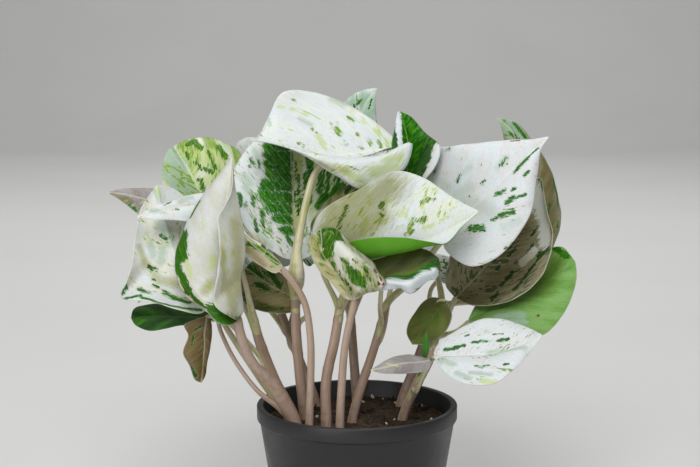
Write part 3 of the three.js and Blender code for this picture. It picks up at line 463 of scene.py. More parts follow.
# Markings, brownish tint with painted shade, and a painted highlight: the two ends of each stroke in pixels
# of the photograph (x, y, x, y), its width in millimetres
MARKS = {
    "top": {
        "green": [
            (331, 123, 335, 129, 1.5), (349, 116, 353, 120, 1.1), (358, 133, 361, 138, 1.2),
            (344, 141, 347, 146, 1.2), (312, 128, 316, 132, 1.1), (385, 152, 391, 150, 1.2),
            (372, 178, 377, 176, 1.2), (352, 168, 356, 171, 1.2), (336, 127, 340, 134, 2.7),
            (338, 121, 339, 124, 1.1), (370, 139, 371, 145, 2.1), (379, 140, 381, 146, 1.8),
            (361, 146, 362, 148, 1.5), (303, 145, 317, 153, 1.8), (298, 142, 303, 145, 1.2),
            (294, 100, 295, 103, 1.1),
        ],
        "lime": [
            (277, 106, 283, 107, 2.1), (289, 108, 295, 109, 1.8), (318, 136, 322, 143, 4.2),
            (322, 143, 326, 150, 1.8), (299, 111, 308, 115, 1.5), (376, 130, 381, 134, 3),
            (387, 140, 391, 144, 2.4), (361, 118, 366, 124, 2.4), (368, 167, 376, 168, 2.4),
            (350, 175, 357, 178, 2.4), (365, 178, 372, 176, 2.4), (356, 185, 362, 187, 2.4),
            (338, 166, 345, 170, 1.8), (350, 110, 354, 113, 2.4), (372, 175, 395, 165, 5.4),
            (345, 172, 360, 180, 4.8), (385, 160, 402, 155, 4.2),
        ],
        "grey": [(269, 119, 270, 125, 1.8), (300, 118, 312, 124, 3), (330, 95, 345, 105, 3.6)],
        "rust": [(351, 122.5, 352, 123, 0.8)],
        # Olive strokes paint shade on the flap that turns down under the rim
        "olive_and_painted_shade": [(320, 164, 345, 172, 4.8), (364, 182, 364, 186, 4.8)],
    },
    "centre": {
        "green": [
            (346, 206, 344, 215, 2.1), (340, 219, 338, 229, 2.1), (383, 203, 381, 208, 2.1),
            (423, 202, 429, 198, 2.1), (431, 199, 435, 198, 1.2), (413, 218, 409, 229, 2.4),
            (418, 221, 425, 218, 2.4), (406, 236, 412, 232, 2.1), (379, 212, 380, 215, 1.5),
        ],
        "lime": [
            (398, 214, 404, 209, 3), (405, 214, 406, 217, 2.1), (424, 206, 425, 213, 2.4),
            (366, 216, 364, 228, 3), (362, 229, 363, 234, 4.2), (370, 197, 368, 203, 2.1),
            (388, 199, 384, 205, 2.1), (385, 219, 384, 226, 2.1), (388, 181, 392, 180, 2.1),
            (422, 229, 433, 225, 2.1), (452, 207, 455, 206, 1.5), (440, 220, 448, 216, 1.5),
            (362, 209, 361, 217, 2.1), (395, 230, 402, 226, 1.5), (410, 195, 416, 193, 1.5),
        ],
        # Olive strokes paint the shadow that the top leaf casts on this leaf's left part
        "olive_and_painted_shade": [
            (325, 232, 335, 208, 12), (335, 215, 362, 190, 15.6), (340, 230, 388, 186, 18),
            (352, 236, 378, 215, 13.2),
        ],
    },
    "right": {
        "green": [
            (518, 166, 526, 158, 2.4), (514, 171, 518, 167, 1.8), (526, 158, 538, 147, 1),
            (457, 181, 459, 175, 1.8), (481, 184, 483, 180, 1.5), (433, 173, 435, 170, 1.5),
            (495, 194, 503, 190, 2.4), (511, 190, 515, 187, 1.5), (505, 203, 512, 198, 2.7),
            (516, 197, 520, 196, 1.5), (524, 175, 528, 170, 1.5), (500, 215, 511, 212, 3),
            (491, 219, 496, 217, 1.8), (446, 151, 448, 148, 1.2), (505, 247, 507, 246, 1.5),
            (523, 195, 526, 193, 1.2), (513, 173, 514, 172, 1), (470, 228, 481, 228, 3.6),
            (500, 165, 506, 157, 1.8),
        ],
        "grey": [
            (464, 200, 490, 210, 7.2), (503, 227, 518, 220, 4.2), (463, 172, 470, 166, 3),
            (455, 196, 470, 186, 6), (438, 182, 448, 190, 5.4), (455, 233, 468, 228, 4.8),
            (497, 167, 506, 157, 3.6),
        ],
        "rust": [(510, 140.5, 519, 139.5, 1)],
    },
    "top_right": {
        "deep": [
            (404, 118, 410, 138, 7.2), (412, 124, 405, 150, 5.4), (418, 131, 410, 165, 6),
            (425, 137, 408, 170, 4.8), (430, 141, 440, 145, 3.6),
        ],
        "lime": [(418, 128, 411, 142, 1.8)], "olive_and_painted_shade": [(426, 140, 416, 172, 9.6)],
        "white": [
            (397, 113, 399, 130, 3), (399, 130, 401, 146, 2.4), (439, 147, 436, 160, 4.8),
            (436, 160, 430, 174, 4.8),
        ],
    },
    "top_back": {
        "grey": [(350, 103, 366, 94, 4.2)], "green": [(354, 105, 363, 100, 1.5), (368, 108, 371, 98, 0.9)],
    },
    "left_front": {
        "deep": [
            (183, 234, 182, 255, 5.4), (177, 242, 177, 268, 4.2), (178, 270, 187, 290, 4.2),
            (187, 291, 203, 308, 2.4), (188, 216, 198, 200, 1.6), (212, 310, 222, 318, 7.8),
            (222, 318, 236, 321, 6.6),
        ],
        # Olive strokes paint shade on the rolled right column and the lower part, with some brownish tint
        "olive_and_painted_shade": [
            (236, 225, 237, 292, 8.4), (222, 250, 224, 290, 4.8), (205, 290, 212, 284, 4.8),
            (230, 285, 234, 315, 7.2), (184, 290, 204, 309, 4.8),
        ],
        "lime": [
            (214, 258, 213, 268, 3), (186, 262, 190, 278, 2.4), (224, 235, 226, 240, 2.1),
            (224, 253, 226, 257, 2.4), (233, 250, 233.5, 258, 2.4), (210, 283, 211, 289, 2.4),
            (201, 222, 202, 226, 1.8), (228, 268, 229, 273, 1.8),
        ],
    },
    "left": {
        "green": [
            (160, 236, 167, 239, 1.8), (150, 266, 152, 268, 1.8), (155, 268, 157, 269, 1.8),
            (138, 288, 143, 290, 2.4), (145, 291, 149, 292, 2.1), (153, 284, 158, 286, 1.8),
            (165, 292, 172, 296, 3), (172, 296, 188, 301, 3), (122, 292, 126, 288, 3.6),
            (152, 278, 154, 279, 1.2),
        ],
        "grey": [
            (165, 240, 172, 244, 3.6), (158, 224, 172, 236, 6), (162, 248, 160, 262, 4.8),
            (150, 244, 154, 254, 4.2), (155, 190, 160, 200, 2.4),
        ],
        # Olive strokes paint shade in the hollow of the bowl
        "olive_and_painted_shade": [(146, 262, 160, 280, 4.8), (160, 280, 185, 285, 5.4), (140, 245, 146, 262, 3.6)],
        "deep": [(124, 298, 140, 295, 2.4), (142, 297, 160, 303, 2.4), (160, 303, 200, 309, 2.4)],
        "lime": [(157, 186, 160, 196, 2.4), (147, 232, 151, 240, 1.8)],
    },
    "left_upper": {
        "green": [(176, 208, 178, 209, 1.5), (165, 204, 170, 200, 1.2)],
        "grey": [(150, 208, 165, 212, 2.4), (180, 200, 192, 196, 3)],
    },
    "far_left": {"green": [(128, 206, 135, 212, 2.4)], "olive_and_painted_shade": [(112, 195, 130, 200, 3.6)]},
    "upper_left": {
        "deep": [(192, 141, 201, 147, 3.6), (219, 146, 226, 156, 3.6), (188, 144, 194, 140, 3)],
        "grey": [
            (167, 152, 185, 185, 8.4), (175, 150, 192, 185, 6), (165, 170, 180, 190, 7.2),
            (195, 188, 182, 188, 4.8),
        ],
        "lime": [
            (182, 150, 195, 160, 5.4), (192, 158, 205, 150, 4.8), (200, 150, 215, 165, 6),
            (195, 170, 210, 160, 5.4), (203, 185, 215, 170, 5.4), (213, 150, 222, 165, 4.2),
            (190, 175, 200, 185, 4.8),
        ],
        "green": [
            (205, 168, 212, 172, 2.4), (200, 180, 204, 190, 3), (196, 162, 200, 168, 2.4),
            (212, 160, 216, 168, 2.4), (208, 150, 211, 158, 1.8), (185, 152, 188, 158, 1.8),
        ],
    },
    "upright": {
        "deep": [
            (268, 146, 288, 147, 4.8), (270, 154, 289, 156, 7.2), (271, 164, 289, 166, 7.2),
            (272, 174, 289, 176, 7.2), (266, 186, 289, 186, 7.8), (266, 196, 289, 197, 7.8),
            (272, 207, 289, 208, 7.2), (278, 218, 290, 220, 6.6), (284, 229, 291, 231, 5.4),
            (289, 238, 292, 243, 3.6), (308, 150, 311, 175, 3.6), (306, 175, 309, 200, 3.6),
            (303, 200, 304, 222, 3), (326, 195, 320, 205, 4.8), (342, 186, 330, 196, 4.8),
        ],
        "green": [
            (251, 158, 252, 163, 1.8), (249, 166, 250, 168, 1.5), (259, 160, 260, 167, 1.8),
            (240, 193, 241, 204, 2.1), (245, 203, 246, 206, 1.8), (252, 196, 254, 200, 2.4),
            (253, 202, 255, 205, 1.8), (262, 212, 264, 224, 2.4), (256, 218, 258, 230, 1.8),
            (322, 170, 320, 190, 3.6), (330, 172, 326, 190, 3), (338, 176, 333, 188, 3),
            (296, 160, 297, 180, 1.5), (299, 175, 299, 195, 1.5), (298, 200, 299, 215, 1.5),
            (295, 190, 296, 205, 1.2),
        ],
        "grey": [
            (245, 176, 250, 182, 5.4), (246, 186, 250, 192, 3.6), (260, 232, 270, 245, 4.2),
            (254, 150, 258, 158, 3),
        ],
        "lime": [
            (325, 172, 322, 198, 12), (334, 172, 328, 196, 10.8), (343, 174, 337, 190, 8.4),
            (299, 150, 299, 232, 7.2), (316, 160, 312, 215, 5.4),
        ],
        "olive_and_painted_shade": [(297, 150, 297, 232, 7.2), (246, 236, 262, 250, 4.8)],
    },
    "inner_left": {
        "deep": [(250, 243, 262, 250, 3), (268, 254, 277, 262, 3)], "lime": [(258, 240, 270, 250, 2.4)],
        "olive_and_painted_shade": [(234, 240, 262, 264, 4.8)],
    },
    "inner_shade": {
        "green": [(252, 268, 262, 276, 4.8), (258, 284, 268, 288, 3.6), (270, 272, 280, 284, 4.8)],
        # Broad olive strokes paint the shade that this leaf lies in
        "olive_and_painted_shade": [(250, 270, 290, 295, 30), (255, 290, 290, 305, 18)],
    },
    "right_tall": {
        # Olive strokes paint the shade of the leaves above it, darkest low down
        "olive_and_painted_shade": [(470, 300, 520, 270, 20.4), (480, 260, 520, 230, 12)],
        "white": [(534, 195, 544, 215, 10.8), (544, 215, 545, 238, 9.6), (522, 262, 534, 250, 4.2)],
        "deep": [
            (538, 255, 547, 247, 4.2), (525, 275, 538, 258, 1.8), (512, 290, 526, 275, 1.8),
            (539, 178, 542, 190, 2.4),
        ],
        "green": [
            (520, 262, 532, 245, 2.4), (500, 285, 512, 272, 2.4), (490, 300, 498, 290, 2.4),
            (530, 235, 540, 222, 1.8), (541, 240, 546, 232, 1.8), (508, 255, 516, 246, 1.8),
            (496, 270, 500, 264, 1.8), (536, 210, 540, 204, 1.8), (545, 215, 547, 222, 1.8),
            (540, 228, 543, 222, 1.5),
        ],
    },
    "right_low": {
        "deep": [(552, 245, 566, 256, 3.6)],
        # Olive strokes paint shade on the part nearest the tall leaf
        "olive_and_painted_shade": [(500, 300, 545, 285, 13.2), (535, 290, 555, 262, 8.4)],
        "grey": [(498, 316, 522, 314, 4.8), (507, 321, 526, 321, 3)],
        "rust": [(536.5, 314.5, 538.5, 315, 1.2)],
    },
    "right_back": {
        "grey": [(503, 121, 512, 132, 7.2), (508, 124, 520, 138, 7.2)],
        "green": [(512, 134, 516, 138, 2.4), (548, 212, 551, 204, 1.8)],
        "deep": [(554, 178, 559, 200, 1), (559, 200, 558, 228, 1), (514, 120, 526, 136, 1.8)],
        "olive_and_painted_shade": [(545, 175, 552, 230, 8.4), (545, 160, 552, 190, 6)], "rust": [(511, 141, 518, 140, 1.2)],
    },
    "low_right": {
        "green": [
            (445, 349, 463, 345, 2.4), (473, 342, 486, 340.5, 1.8), (497, 340, 507, 338.5, 2.1),
            (466, 335, 469, 334, 1.2), (475, 365, 482, 367, 1.5), (483, 365, 488, 365, 1.8),
            (504, 364, 508, 363, 1.5), (493, 334, 502, 333, 1),
        ],
        "grey": [
            (489, 352, 524, 347, 3.6), (441, 359, 453, 364, 3.6), (445, 356, 468, 355, 1.2),
            (470, 372, 490, 374, 2.4), (455, 372, 470, 378, 2.4),
        ],
        "lime": [(480, 381, 497, 382, 2.4)],
    },
    "low_front": {"lime": [(388, 363, 398, 365, 1.2)]},
    "spotted": {
        "deep": [
            (321, 231, 334, 229, 4.8), (336, 231, 341, 238, 5.4), (334, 236, 333, 246, 6),
            (327, 236, 327, 252, 6.6), (324, 252, 324, 257, 4.2), (321, 236, 323, 246, 3.6),
            (349, 270, 355, 276, 6.6), (352, 278, 359, 283, 6.6), (360, 280, 363, 286, 4.2),
        ],
        "green": [
            (340, 259, 347, 264, 2.4), (332, 262, 334, 270, 2.4), (328, 248, 330, 256, 2.4),
            (345, 282, 350, 290, 3), (362, 284, 366, 288, 2.4), (354, 258, 358, 262, 1.5),
            (364, 266, 368, 271, 1.5), (338, 272, 342, 280, 2.1), (368, 276, 372, 280, 1.5),
        ],
        # Olive strokes here: brownish tint, and painted shade on the lower left
        "olive_and_painted_shade": [
            (315, 238, 322, 262, 5.4), (322, 262, 345, 292, 9.6), (345, 285, 358, 296, 7.2),
            (356, 262, 370, 276, 4.2),
        ],
        # White strokes paint a highlight along the rolled ridge
        "white": [
            (340, 243, 350, 251, 5.4), (350, 251, 362, 259, 3.6), (335, 250, 344, 255, 3.6),
            (366, 264, 374, 269, 1.8),
        ],
        "rust": [
            (374, 268, 376, 272, 1.8), (379, 276, 381, 279, 1.2), (378, 284, 380, 286, 1.2),
            (383, 280, 385, 290, 1),
        ],
    },
    "cupped": {
        "deep": [(392, 276, 412, 276, 7.2), (412, 276, 426, 270, 7.2), (426, 268, 434, 262, 6)],
        "white": [
            (384, 287, 402, 287, 7.2), (402, 287, 412, 289, 7.2), (414, 287, 428, 279, 6.6),
            (428, 278, 437, 274, 5.4),
        ],
    },
    "hanging": {
        "deep": [(191, 345, 194, 333, 1.1), (196, 330, 202, 326, 1), (191, 368, 195, 377, 1.8)],
        "olive_and_painted_shade": [(190, 330, 203, 375, 6)],
    },
    "behind_centre": {"olive_and_painted_shade": [(337, 196, 358, 184, 8.4)], "green": [(345, 192, 350, 187, 2.4)]},
    "behind_left": {"grey": [(238, 150, 252, 142, 4.8)]},
}

# Colours of leaves
SNOW = (0.64, 0.68, 0.71)
CREAM_WHITE = (0.67, 0.65, 0.6)
PEARL = (0.64, 0.63, 0.65)
LILAC = (0.34, 0.3, 0.32)
SAGE = (0.33, 0.52, 0.38)
LEAF_GREEN = (0.02, 0.12, 0.006)
MID_GREEN = (0.13, 0.3, 0.045)
DARK_GREEN = (0.01, 0.05, 0.006)
DEEP_GREEN = (0.03, 0.12, 0.012)
MOSS = (0.13, 0.25, 0.005)
DEEP_MOSS = (0.02, 0.06, 0.003)
SPRING = (0.22, 0.4, 0.015)
VIVID = (0.07, 0.25, 0.001)
DARK_OLIVE = (0.08, 0.085, 0.02)
LEAF_VEIN = (0.22, 0.4, 0.1)
LIGHT_GREEN = (0.2, 0.38, 0.1)
OLIVE_GREEN = (0.24, 0.36, 0.01)
DARK_SPRING = (0.09, 0.17, 0.003)
SPRING_SHADE = (0.05, 0.13, 0.003)
FAINT_GREEN = (0.68, 0.71, 0.67)
WARM_WHITE = (0.68, 0.65, 0.6)
PALE_GREY = (0.6, 0.61, 0.6)
DULL_WHITE = (0.56, 0.55, 0.5)
OLIVE_SHADE = (0.3, 0.29, 0.07)
LILAC_SHADE = (0.24, 0.2, 0.21)
BROWN_PINK = (0.14, 0.09, 0.045)
HOOD_GREEN = (0.02, 0.09, 0.002)
OLD_GREEN = (0.09, 0.22, 0.008)
OLIVE_MOSS = (0.11, 0.24, 0.008)
GREENISH = (0.66, 0.69, 0.6)
LIME_SHADE = (0.22, 0.34, 0.04)
PINK_CREAM = (0.46, 0.39, 0.29)
BROWN_SHADE = (0.32, 0.29, 0.21)
DARK_BROWN_SHADE = (0.23, 0.2, 0.13)
WARM_BROWN = (0.22, 0.195, 0.1)
SHADE_VEIN = (0.12, 0.2, 0.05)
GREY_CREAM = (0.6, 0.62, 0.55)
DARK_MOSS = (0.11, 0.14, 0.03)
TAN = (0.17, 0.12, 0.06)
OLIVE_CREAM = (0.42, 0.38, 0.24)

# How strongly the dark leaves are mottled with grey green
FAINT_MOTTLE = 0.05

# How each leaf of the photograph looks: two tones of its ground, and what share of it flecks cover
LOOKS = {
    "top": {
        "ground": SNOW, "second": FAINT_GREEN, "limes": 0.05, "specks": 0.015, "faint": 0.06,
        "green": SPRING, "dark": MOSS,
    },
    # Its shade colour, laid by the olive strokes, is a painted shadow from the top leaf
    "centre": {
        "ground": SNOW, "second": GREENISH, "limes": 0.07, "specks": 0.02, "faint": 0.15,
        "shade": OLIVE_SHADE, "green": OLIVE_GREEN, "dark": DARK_SPRING, "under": VIVID,
        "under_share": 0.97,
    },
    "right": {"ground": SNOW, "second": PEARL, "limes": 0.02, "specks": 0.008, "faint": 0.1, "clouds": 0.3},
    "top_right": {
        "ground": LEAF_GREEN, "second": DARK_GREEN, "specks": 0.03, "faint": 0, "limes": 0, "halo": 0,
        "vein": LEAF_VEIN, "veins": 2, "mottle": FAINT_MOTTLE,
    },
    "top_back": {"ground": SAGE, "second": SNOW, "limes": 0.1, "specks": 0.03},
    "left_front": {
        "ground": PALE_GREY, "second": DULL_WHITE, "limes": 0.02, "specks": 0, "under_share": 0.1,
        "green": SPRING_SHADE, "dark": LEAF_GREEN, "crackle": 1, "edge": CREAM_WHITE, "stalk": "pink",
    },
    "left": {"ground": SNOW, "second": CREAM_WHITE, "limes": 0.05, "specks": 0.008},
    "left_upper": {"ground": SNOW, "second": PEARL, "limes": 0.04, "specks": 0.008},
    "far_left": {"ground": LILAC, "second": LILAC_SHADE, "limes": 0.03, "specks": 0},
    "upper_left": {
        "ground": GREENISH, "second": LIME_SHADE, "limes": 0.3, "specks": 0.14, "green": OLIVE_MOSS,
        "dark": LEAF_GREEN, "clouds": 0.95, "halo": 0,
    },
    "behind_left": {"ground": SNOW, "second": PEARL, "limes": 0.03, "specks": 0.01, "clouds": 0.2},
    "upright": {
        "ground": SNOW, "second": PEARL, "limes": 0.1, "specks": 0.06, "crackle": 0.6, "grain": 1.7,
        "veins": 2,
    },
    "inner_left": {
        "ground": PINK_CREAM, "second": OLIVE_CREAM, "shade": OLIVE_CREAM, "limes": 0.1, "specks": 0.08,
        "green": MOSS, "stalk": "pink",
    },
    # Its dark ground is partly painted shade, deep in the plant
    "inner_shade": {
        "ground": BROWN_SHADE, "second": DARK_OLIVE, "limes": 0.04, "specks": 0.15, "green": DEEP_MOSS,
        "mottle": FAINT_MOTTLE,
    },
    # Its brown ground is darkened as painted shade from the leaves above; white strokes keep its pale part
    "right_tall": {
        "ground": WARM_BROWN, "second": BROWN_SHADE, "shade": OLIVE_CREAM, "limes": 0.03, "specks": 0.12,
        "green": DEEP_MOSS, "dark": DEEP_MOSS, "bright": GREY_CREAM, "mottle": FAINT_MOTTLE,
    },
    "right_low": {
        "ground": MID_GREEN, "second": LIGHT_GREEN, "specks": 0, "faint": 0, "limes": 0, "halo": 0,
        "vein": LEAF_VEIN, "clouds": 0.95, "veins": 3.5,
    },
    "right_back": {
        "ground": DARK_BROWN_SHADE, "second": BROWN_SHADE, "clouds": 0.9, "limes": 0.08, "specks": 0.04,
        "mottle": FAINT_MOTTLE,
    },
    "low_right": {
        "ground": SNOW, "second": PEARL, "limes": 0.03, "specks": 0.035, "grain": 1.6, "faint": 0.1,
    },
    "low_front": {"ground": LILAC_SHADE, "second": LILAC, "limes": 0.02, "specks": 0.01, "faint": 0.1},
    # Its bright colour is that of the painted highlight along its ridge
    "spotted": {
        "ground": CREAM_WHITE, "second": OLIVE_CREAM, "limes": 0.25, "specks": 0.12, "green": OLD_GREEN,
        "dark": HOOD_GREEN, "crackle": 0.9, "bright": GREY_CREAM, "stalk": "pink",
    },
    # Its dark inside is partly painted shade under the centre leaf
    "cupped": {
        "ground": DARK_OLIVE, "second": DARK_MOSS, "faint": 0, "limes": 0, "specks": 0, "halo": 0,
        "under": WARM_WHITE, "under_share": 0.9, "vein": SHADE_VEIN, "crackle": 1, "mottle": FAINT_MOTTLE,
    },
    # A green leaf whose dark ground is darkened further as painted shade
    "low_left": {
        "ground": DARK_GREEN, "second": DEEP_GREEN, "faint": 0, "limes": 0, "halo": 0, "vein": SHADE_VEIN,
        "veins": 3, "edge": LEAF_GREEN, "mottle": FAINT_MOTTLE,
    },
    "hanging": {
        "ground": BROWN_PINK, "second": TAN, "green": DEEP_MOSS, "dark": DEEP_GREEN, "limes": 0.03,
        "specks": 0.02, "stalk": "pink", "mottle": FAINT_MOTTLE,
    },
    # Its dark ground is partly painted shade, deep under the leaves
    "inner_right": {
        "ground": DARK_OLIVE, "second": DARK_MOSS, "faint": 0, "limes": 0, "halo": 0, "specks": 0.05,
        "vein": SHADE_VEIN, "mottle": FAINT_MOTTLE,
    },
    "behind_centre": {
        "ground": BROWN_SHADE, "second": DARK_OLIVE, "specks": 0.1, "green": DEEP_MOSS,
        "mottle": FAINT_MOTTLE,
    },
}
FAR_LOOKS = (
    {"ground": SNOW, "second": PEARL, "limes": 0.12, "specks": 0.08, "solid": 0.03},
    {"ground": CREAM_WHITE, "second": SNOW, "limes": 0.15, "specks": 0.1, "solid": 0.1},
    {"ground": SNOW, "second": GREENISH, "limes": 0.15, "specks": 0.12, "solid": 0.22},
)

# What a look holds where it says nothing else
PLAIN_LOOK = {
    "limes": 0.1,
    "specks": 0.03,
    "solid": 0.0,
    "faint": 0.2,
    "clouds": 0.6,
    "halo": 0.35,
    "crackle": 0.55,
    "mottle": 0.3,
    "grain": 1.0,
    "veins": 1,
    "under_share": 0.25,
    "stalk": "cream",
}

# Patterns: how finely each is stretched, per millimetre, its detail and its roughness
PATTERNS = {
    "fine": ((1.7, 1.1, 1), 2.0, 0.6),
    "streaks": ((0.6, 0.33, 1), 3.0, 0.55),
    "spots": ((0.5, 0.3, 1), 1.0, 0.5),
    "clouds": ((0.11, 0.07, 1), 2.0, 0.5),
    "mottle": ((1.2, 0.8, 1), 4.0, 0.7),
    "faint": ((1.2, 0.12, 1), 2.0, 0.5),
    "long": ((1.1, 1.1, 0.03), 3.0, 0.5),
    "blotches": ((0.9, 0.9, 0.16), 4.0, 0.65),
    "specks": ((2.6, 2.6, 1.1), 3.0, 0.6),
}

# Steps of patterns and distances: where each begins and where it ends
STEPS = {
    "ground": (0.36, 0.64),
    "mottle": (0.46, 0.66),
    "faint": (0.45, 0.75),
    "mark_start": (0, 0.15),
    "halo": (0.05, 0.5),
    "tone": (0.38, 0.6),
    "crackle": (0.56, 0.66),
    "patch": (0.4, 0.66),
    "vein": (0, 0.7),
    "vein_seen": (0.4, 0.6),
    "rib": (0.2, 0.9),
    "edge": (0.1, 0.7),
    "middle": (0.3, 0.7),
    "long": (0.32, 0.68),
    "foot": (0.0, 0.5),
    "scars": (0.49, 0.6),
    "dots": (0.66, 0.74),
    "dust": (0.5, 0.8),
    "bark": (0.4, 0.72),
    "damp": (0.4, 0.65),
}

# Edges of placed marks: where a mark begins and is full, and how much its edge is torn
MARK_EDGES = {
    "green": (0.4, 0.56, 1.0),
    "lime": (0.25, 0.7, 1.0),
    "grey": (0.1, 0.8, 0.5),
    "deep": (0.38, 0.46, 0.6),
    "olive_and_painted_shade": (0.0, 0.9, 0.3),
    "rust": (0.35, 0.5, 0.6),
    "white": (0.22, 0.5, 0.5),
}

# Leaf skin: how patterns tear and strew the marks, how soft flecks are and how much each layer covers
STREAK_TEAR = 1.9
FINE_TEAR = 1.3
CLOUD_STREW = 0.8
FINE_STREW = 0.25
STREW_MIDDLE = 1.02
STREW_SPREAD = 0.1
LIME_SOFTNESS = 0.14
SPECK_SOFTNESS = 0.07
SOLID_SOFTNESS = 0.04
LIME_COVER = 0.7
SPECK_COVER = 0.75
GREEN_COVER = 0.95
SHADE_COVER = 0.8
LINE_COVER = 0.35
VEIN_COVER = (0.02, 0.1)
LEAF_ROUGHNESS = (0.38, 0.52)
VEIN_RELIEF = -3.0
FINE_RELIEF = 0.6

# Other finishes
DOT_COVER = 0.7
FOOT_SHARE = 0.12
SPECK_RELIEF = 0.4
SKIN_ROUGHNESS = (-0.08, 0.12)
DUST_COVER = 0.35
POT_ROUGHNESS = (0.36, 0.55)
DAMP_SHADE = 0.45
DAMP_COVER = 0.7
STEM_SCARS = 0.8
STALK_SCARS = 0.35
SHOOT_SCARS = 0.3

# Rolled young leaf: its grid, its foot, its shape above the stalk in millimetres, and the step of its overlap
SHOOT_GRID = (48, 90)
SHOOT_EDGE = (0.01, 1.2)
SHOOT_FOOT = ((0.3, 1.1), (1, 1.1))
SHOOT_SHAPE = ((0.1, 1.5), (0.4, 2.3), (0.75, 1.5), (1, 0))
SHOOT_STEP = 0.13
SHOOT_TURNS = 2
SHOOT_OPENING = 0.2
SHOOT_SEED = 3

# Camera of the photograph: its picture in pixels, its place from the middle of the pot's rim in millimetres
PHOTO_SIZE = (700, 467)
PHOTO_FOCUS = 1500.0
CAMERA_PITCH = 8.05
CAMERA_BACK = 900.0
CAMERA_SIDE = -4.2
CAMERA_LIFT = 101.7
SENSOR_WIDTH = 36.0
CAMERA_REACH = (0.05, 30)

# Reading of strokes: the grid of a blade that is searched, in shares, and how near counts as the same pixel
MARK_GRID = 200
MARK_ENDS = (0.01, 0.99)
MARK_DIGITS = 2
SAME_PIXEL = 1.0

# Studio, in metres: each light's place, what it faces, its width and the setting of its power
FLOOR_SIZE = 16
FLOOR_MIDDLE = -3.8
FLOOR_BACK = 3
STUDIO_WALL = 4
STUDIO_BEND = 1.2
BEND_STEPS = 24
FLOOR_SHADE = 0.97
PLANT_MIDDLE = (0, 0, 0.18)
LIGHTS = {
    "key_light": ((-0.05, -0.95, 1.02), PLANT_MIDDLE, 0.6, "key"),
    "fill_light": ((-0.7, -1.1, 0.45), PLANT_MIDDLE, 0.8, "fill"),
    "wall_light": ((0, 1.1, 2.4), (0, 2.2, 0.6), 1.6, "wall"),
}


# Curves and surfaces


class Line:
    """A smooth line through a few points, read by the share of its length."""

    def __init__(self, points):
        given = np.array(points, float)
        p = np.vstack([2 * given[0] - given[1], given, 2 * given[-1] - given[-2]])
        found = []
        for k in range(1, len(p) - 2):
            gaps = [max(np.linalg.norm(p[i + 1] - p[i]) ** 0.5, SHORTEST) for i in (k - 1, k, k + 1)]
            leave = self.slope(p[k - 1], p[k], p[k + 1], gaps[0], gaps[1]) * gaps[1]
            reach = self.slope(p[k], p[k + 1], p[k + 2], gaps[1], gaps[2]) * gaps[1]
            t = np.linspace(0, 1, LINE_FINENESS, endpoint=False)[:, None]
            bend = 3 * (p[k + 1] - p[k]) - 2 * leave - reach
            turn = 2 * (p[k] - p[k + 1]) + leave + reach
            found.append(p[k] + leave * t + bend * t**2 + turn * t**3)
        self.points = np.vstack([*found, given[-1]])
        steps = np.linalg.norm(np.diff(self.points, axis=0), axis=1)
        self.reached = np.concatenate([[0], np.cumsum(steps)])
        self.length = self.reached[-1]

    @staticmethod
    def slope(before, here, after, gap_before, gap_after):
        """The slope of the curve at a point whose neighbours stand at uneven gaps."""
        through = (after - before) / (gap_before + gap_after)
        return (here - before) / gap_before - through + (after - here) / gap_after

    def at(self, share):
        """The points at these shares of the length."""
        where = np.clip(share, 0, 1) * self.length
        return np.stack([np.interp(where, self.reached, self.points[:, k]) for k in range(3)], axis=-1)

    def heading(self, share):
        """The directions of the line at these shares of the length."""
        share = np.asarray(share, float)
        step = self.at(share + HEADING_STEP) - self.at(share - HEADING_STEP)
        return step / np.linalg.norm(step, axis=-1, keepdims=True)


def unit(vectors):
    """Vectors made one long."""
    return vectors / np.maximum(np.linalg.norm(vectors, axis=-1, keepdims=True), TINY)


def smooth(value, low, high):
    """0 below low, 1 above high and a soft step between them."""
    share = np.clip((value - low) / (high - low), 0, 1)
    return share * share * (3 - 2 * share)


def half_lines(leaf, side):
    """The rib, folds and margin that one half of a blade passes through, each with how far out it lies."""
    base, tip = leaf["rib"][0], leaf["rib"][-1]
    lines = [(0, Line(leaf["rib"]))]
    lines += [(share, Line([base, *fold, tip])) for share, fold in leaf.get(f"{side}_folds", {}).items()]
    lines.append((1, Line([base, *leaf[side], tip])))
    return lines


def bowed_points(leaf, side, lines, along, share):
    """Points of a half without folds, which bows out evenly between the rib and the margin."""
    inner, outer = (line.at(along) for _, line in lines)
    forward = lines[0][1].heading(along)
    row = outer - inner
    swell = leaf.get("swell", PLAIN_SWELL)[0 if side == "left" else 1]
    span = np.maximum(np.linalg.norm(row, axis=-1, keepdims=True), SHORTEST)
    most = np.minimum(abs(swell) / span, MOST_BOW) * np.sign(swell)
    fade = np.sqrt(np.sin(np.pi * np.clip(along, 0, 1)))[..., None]
    face = np.cross(forward, row) if side == "left" else np.cross(row, forward)
    return inner + row * share + face * 4 * share * (1 - share) * fade * most


def folded_points(lines, along, share):
    """Points of a half with folds, on a smooth curve through the rib, each fold and the margin."""
    places = [place for place, _ in lines]
    spots = [line.at(along) for _, line in lines]
    gaps = np.diff(places)
    slopes = [(after - before) / gap for before, after, gap in zip(spots, spots[1:], gaps)]
    turns = [slopes[0]]
    for k in range(1, len(lines) - 1):
        through = (slopes[k - 1] * gaps[k] + slopes[k] * gaps[k - 1]) / (gaps[k - 1] + gaps[k])
        turns.append(through * FOLD_ROUNDING)
    turns.append(slopes[-1])
    points = spots[0] + 0 * share
    for k, gap in enumerate(gaps):
        t = np.clip((share - places[k]) / gap, 0, 1)
        curve = spots[k] * (1 + 2 * t) * (1 - t) ** 2 + spots[k + 1] * t**2 * (3 - 2 * t)
        curve = curve + gap * (turns[k] * t * (1 - t) ** 2 - turns[k + 1] * t**2 * (1 - t))
        points = np.where(share >= places[k], curve, points)
    return points


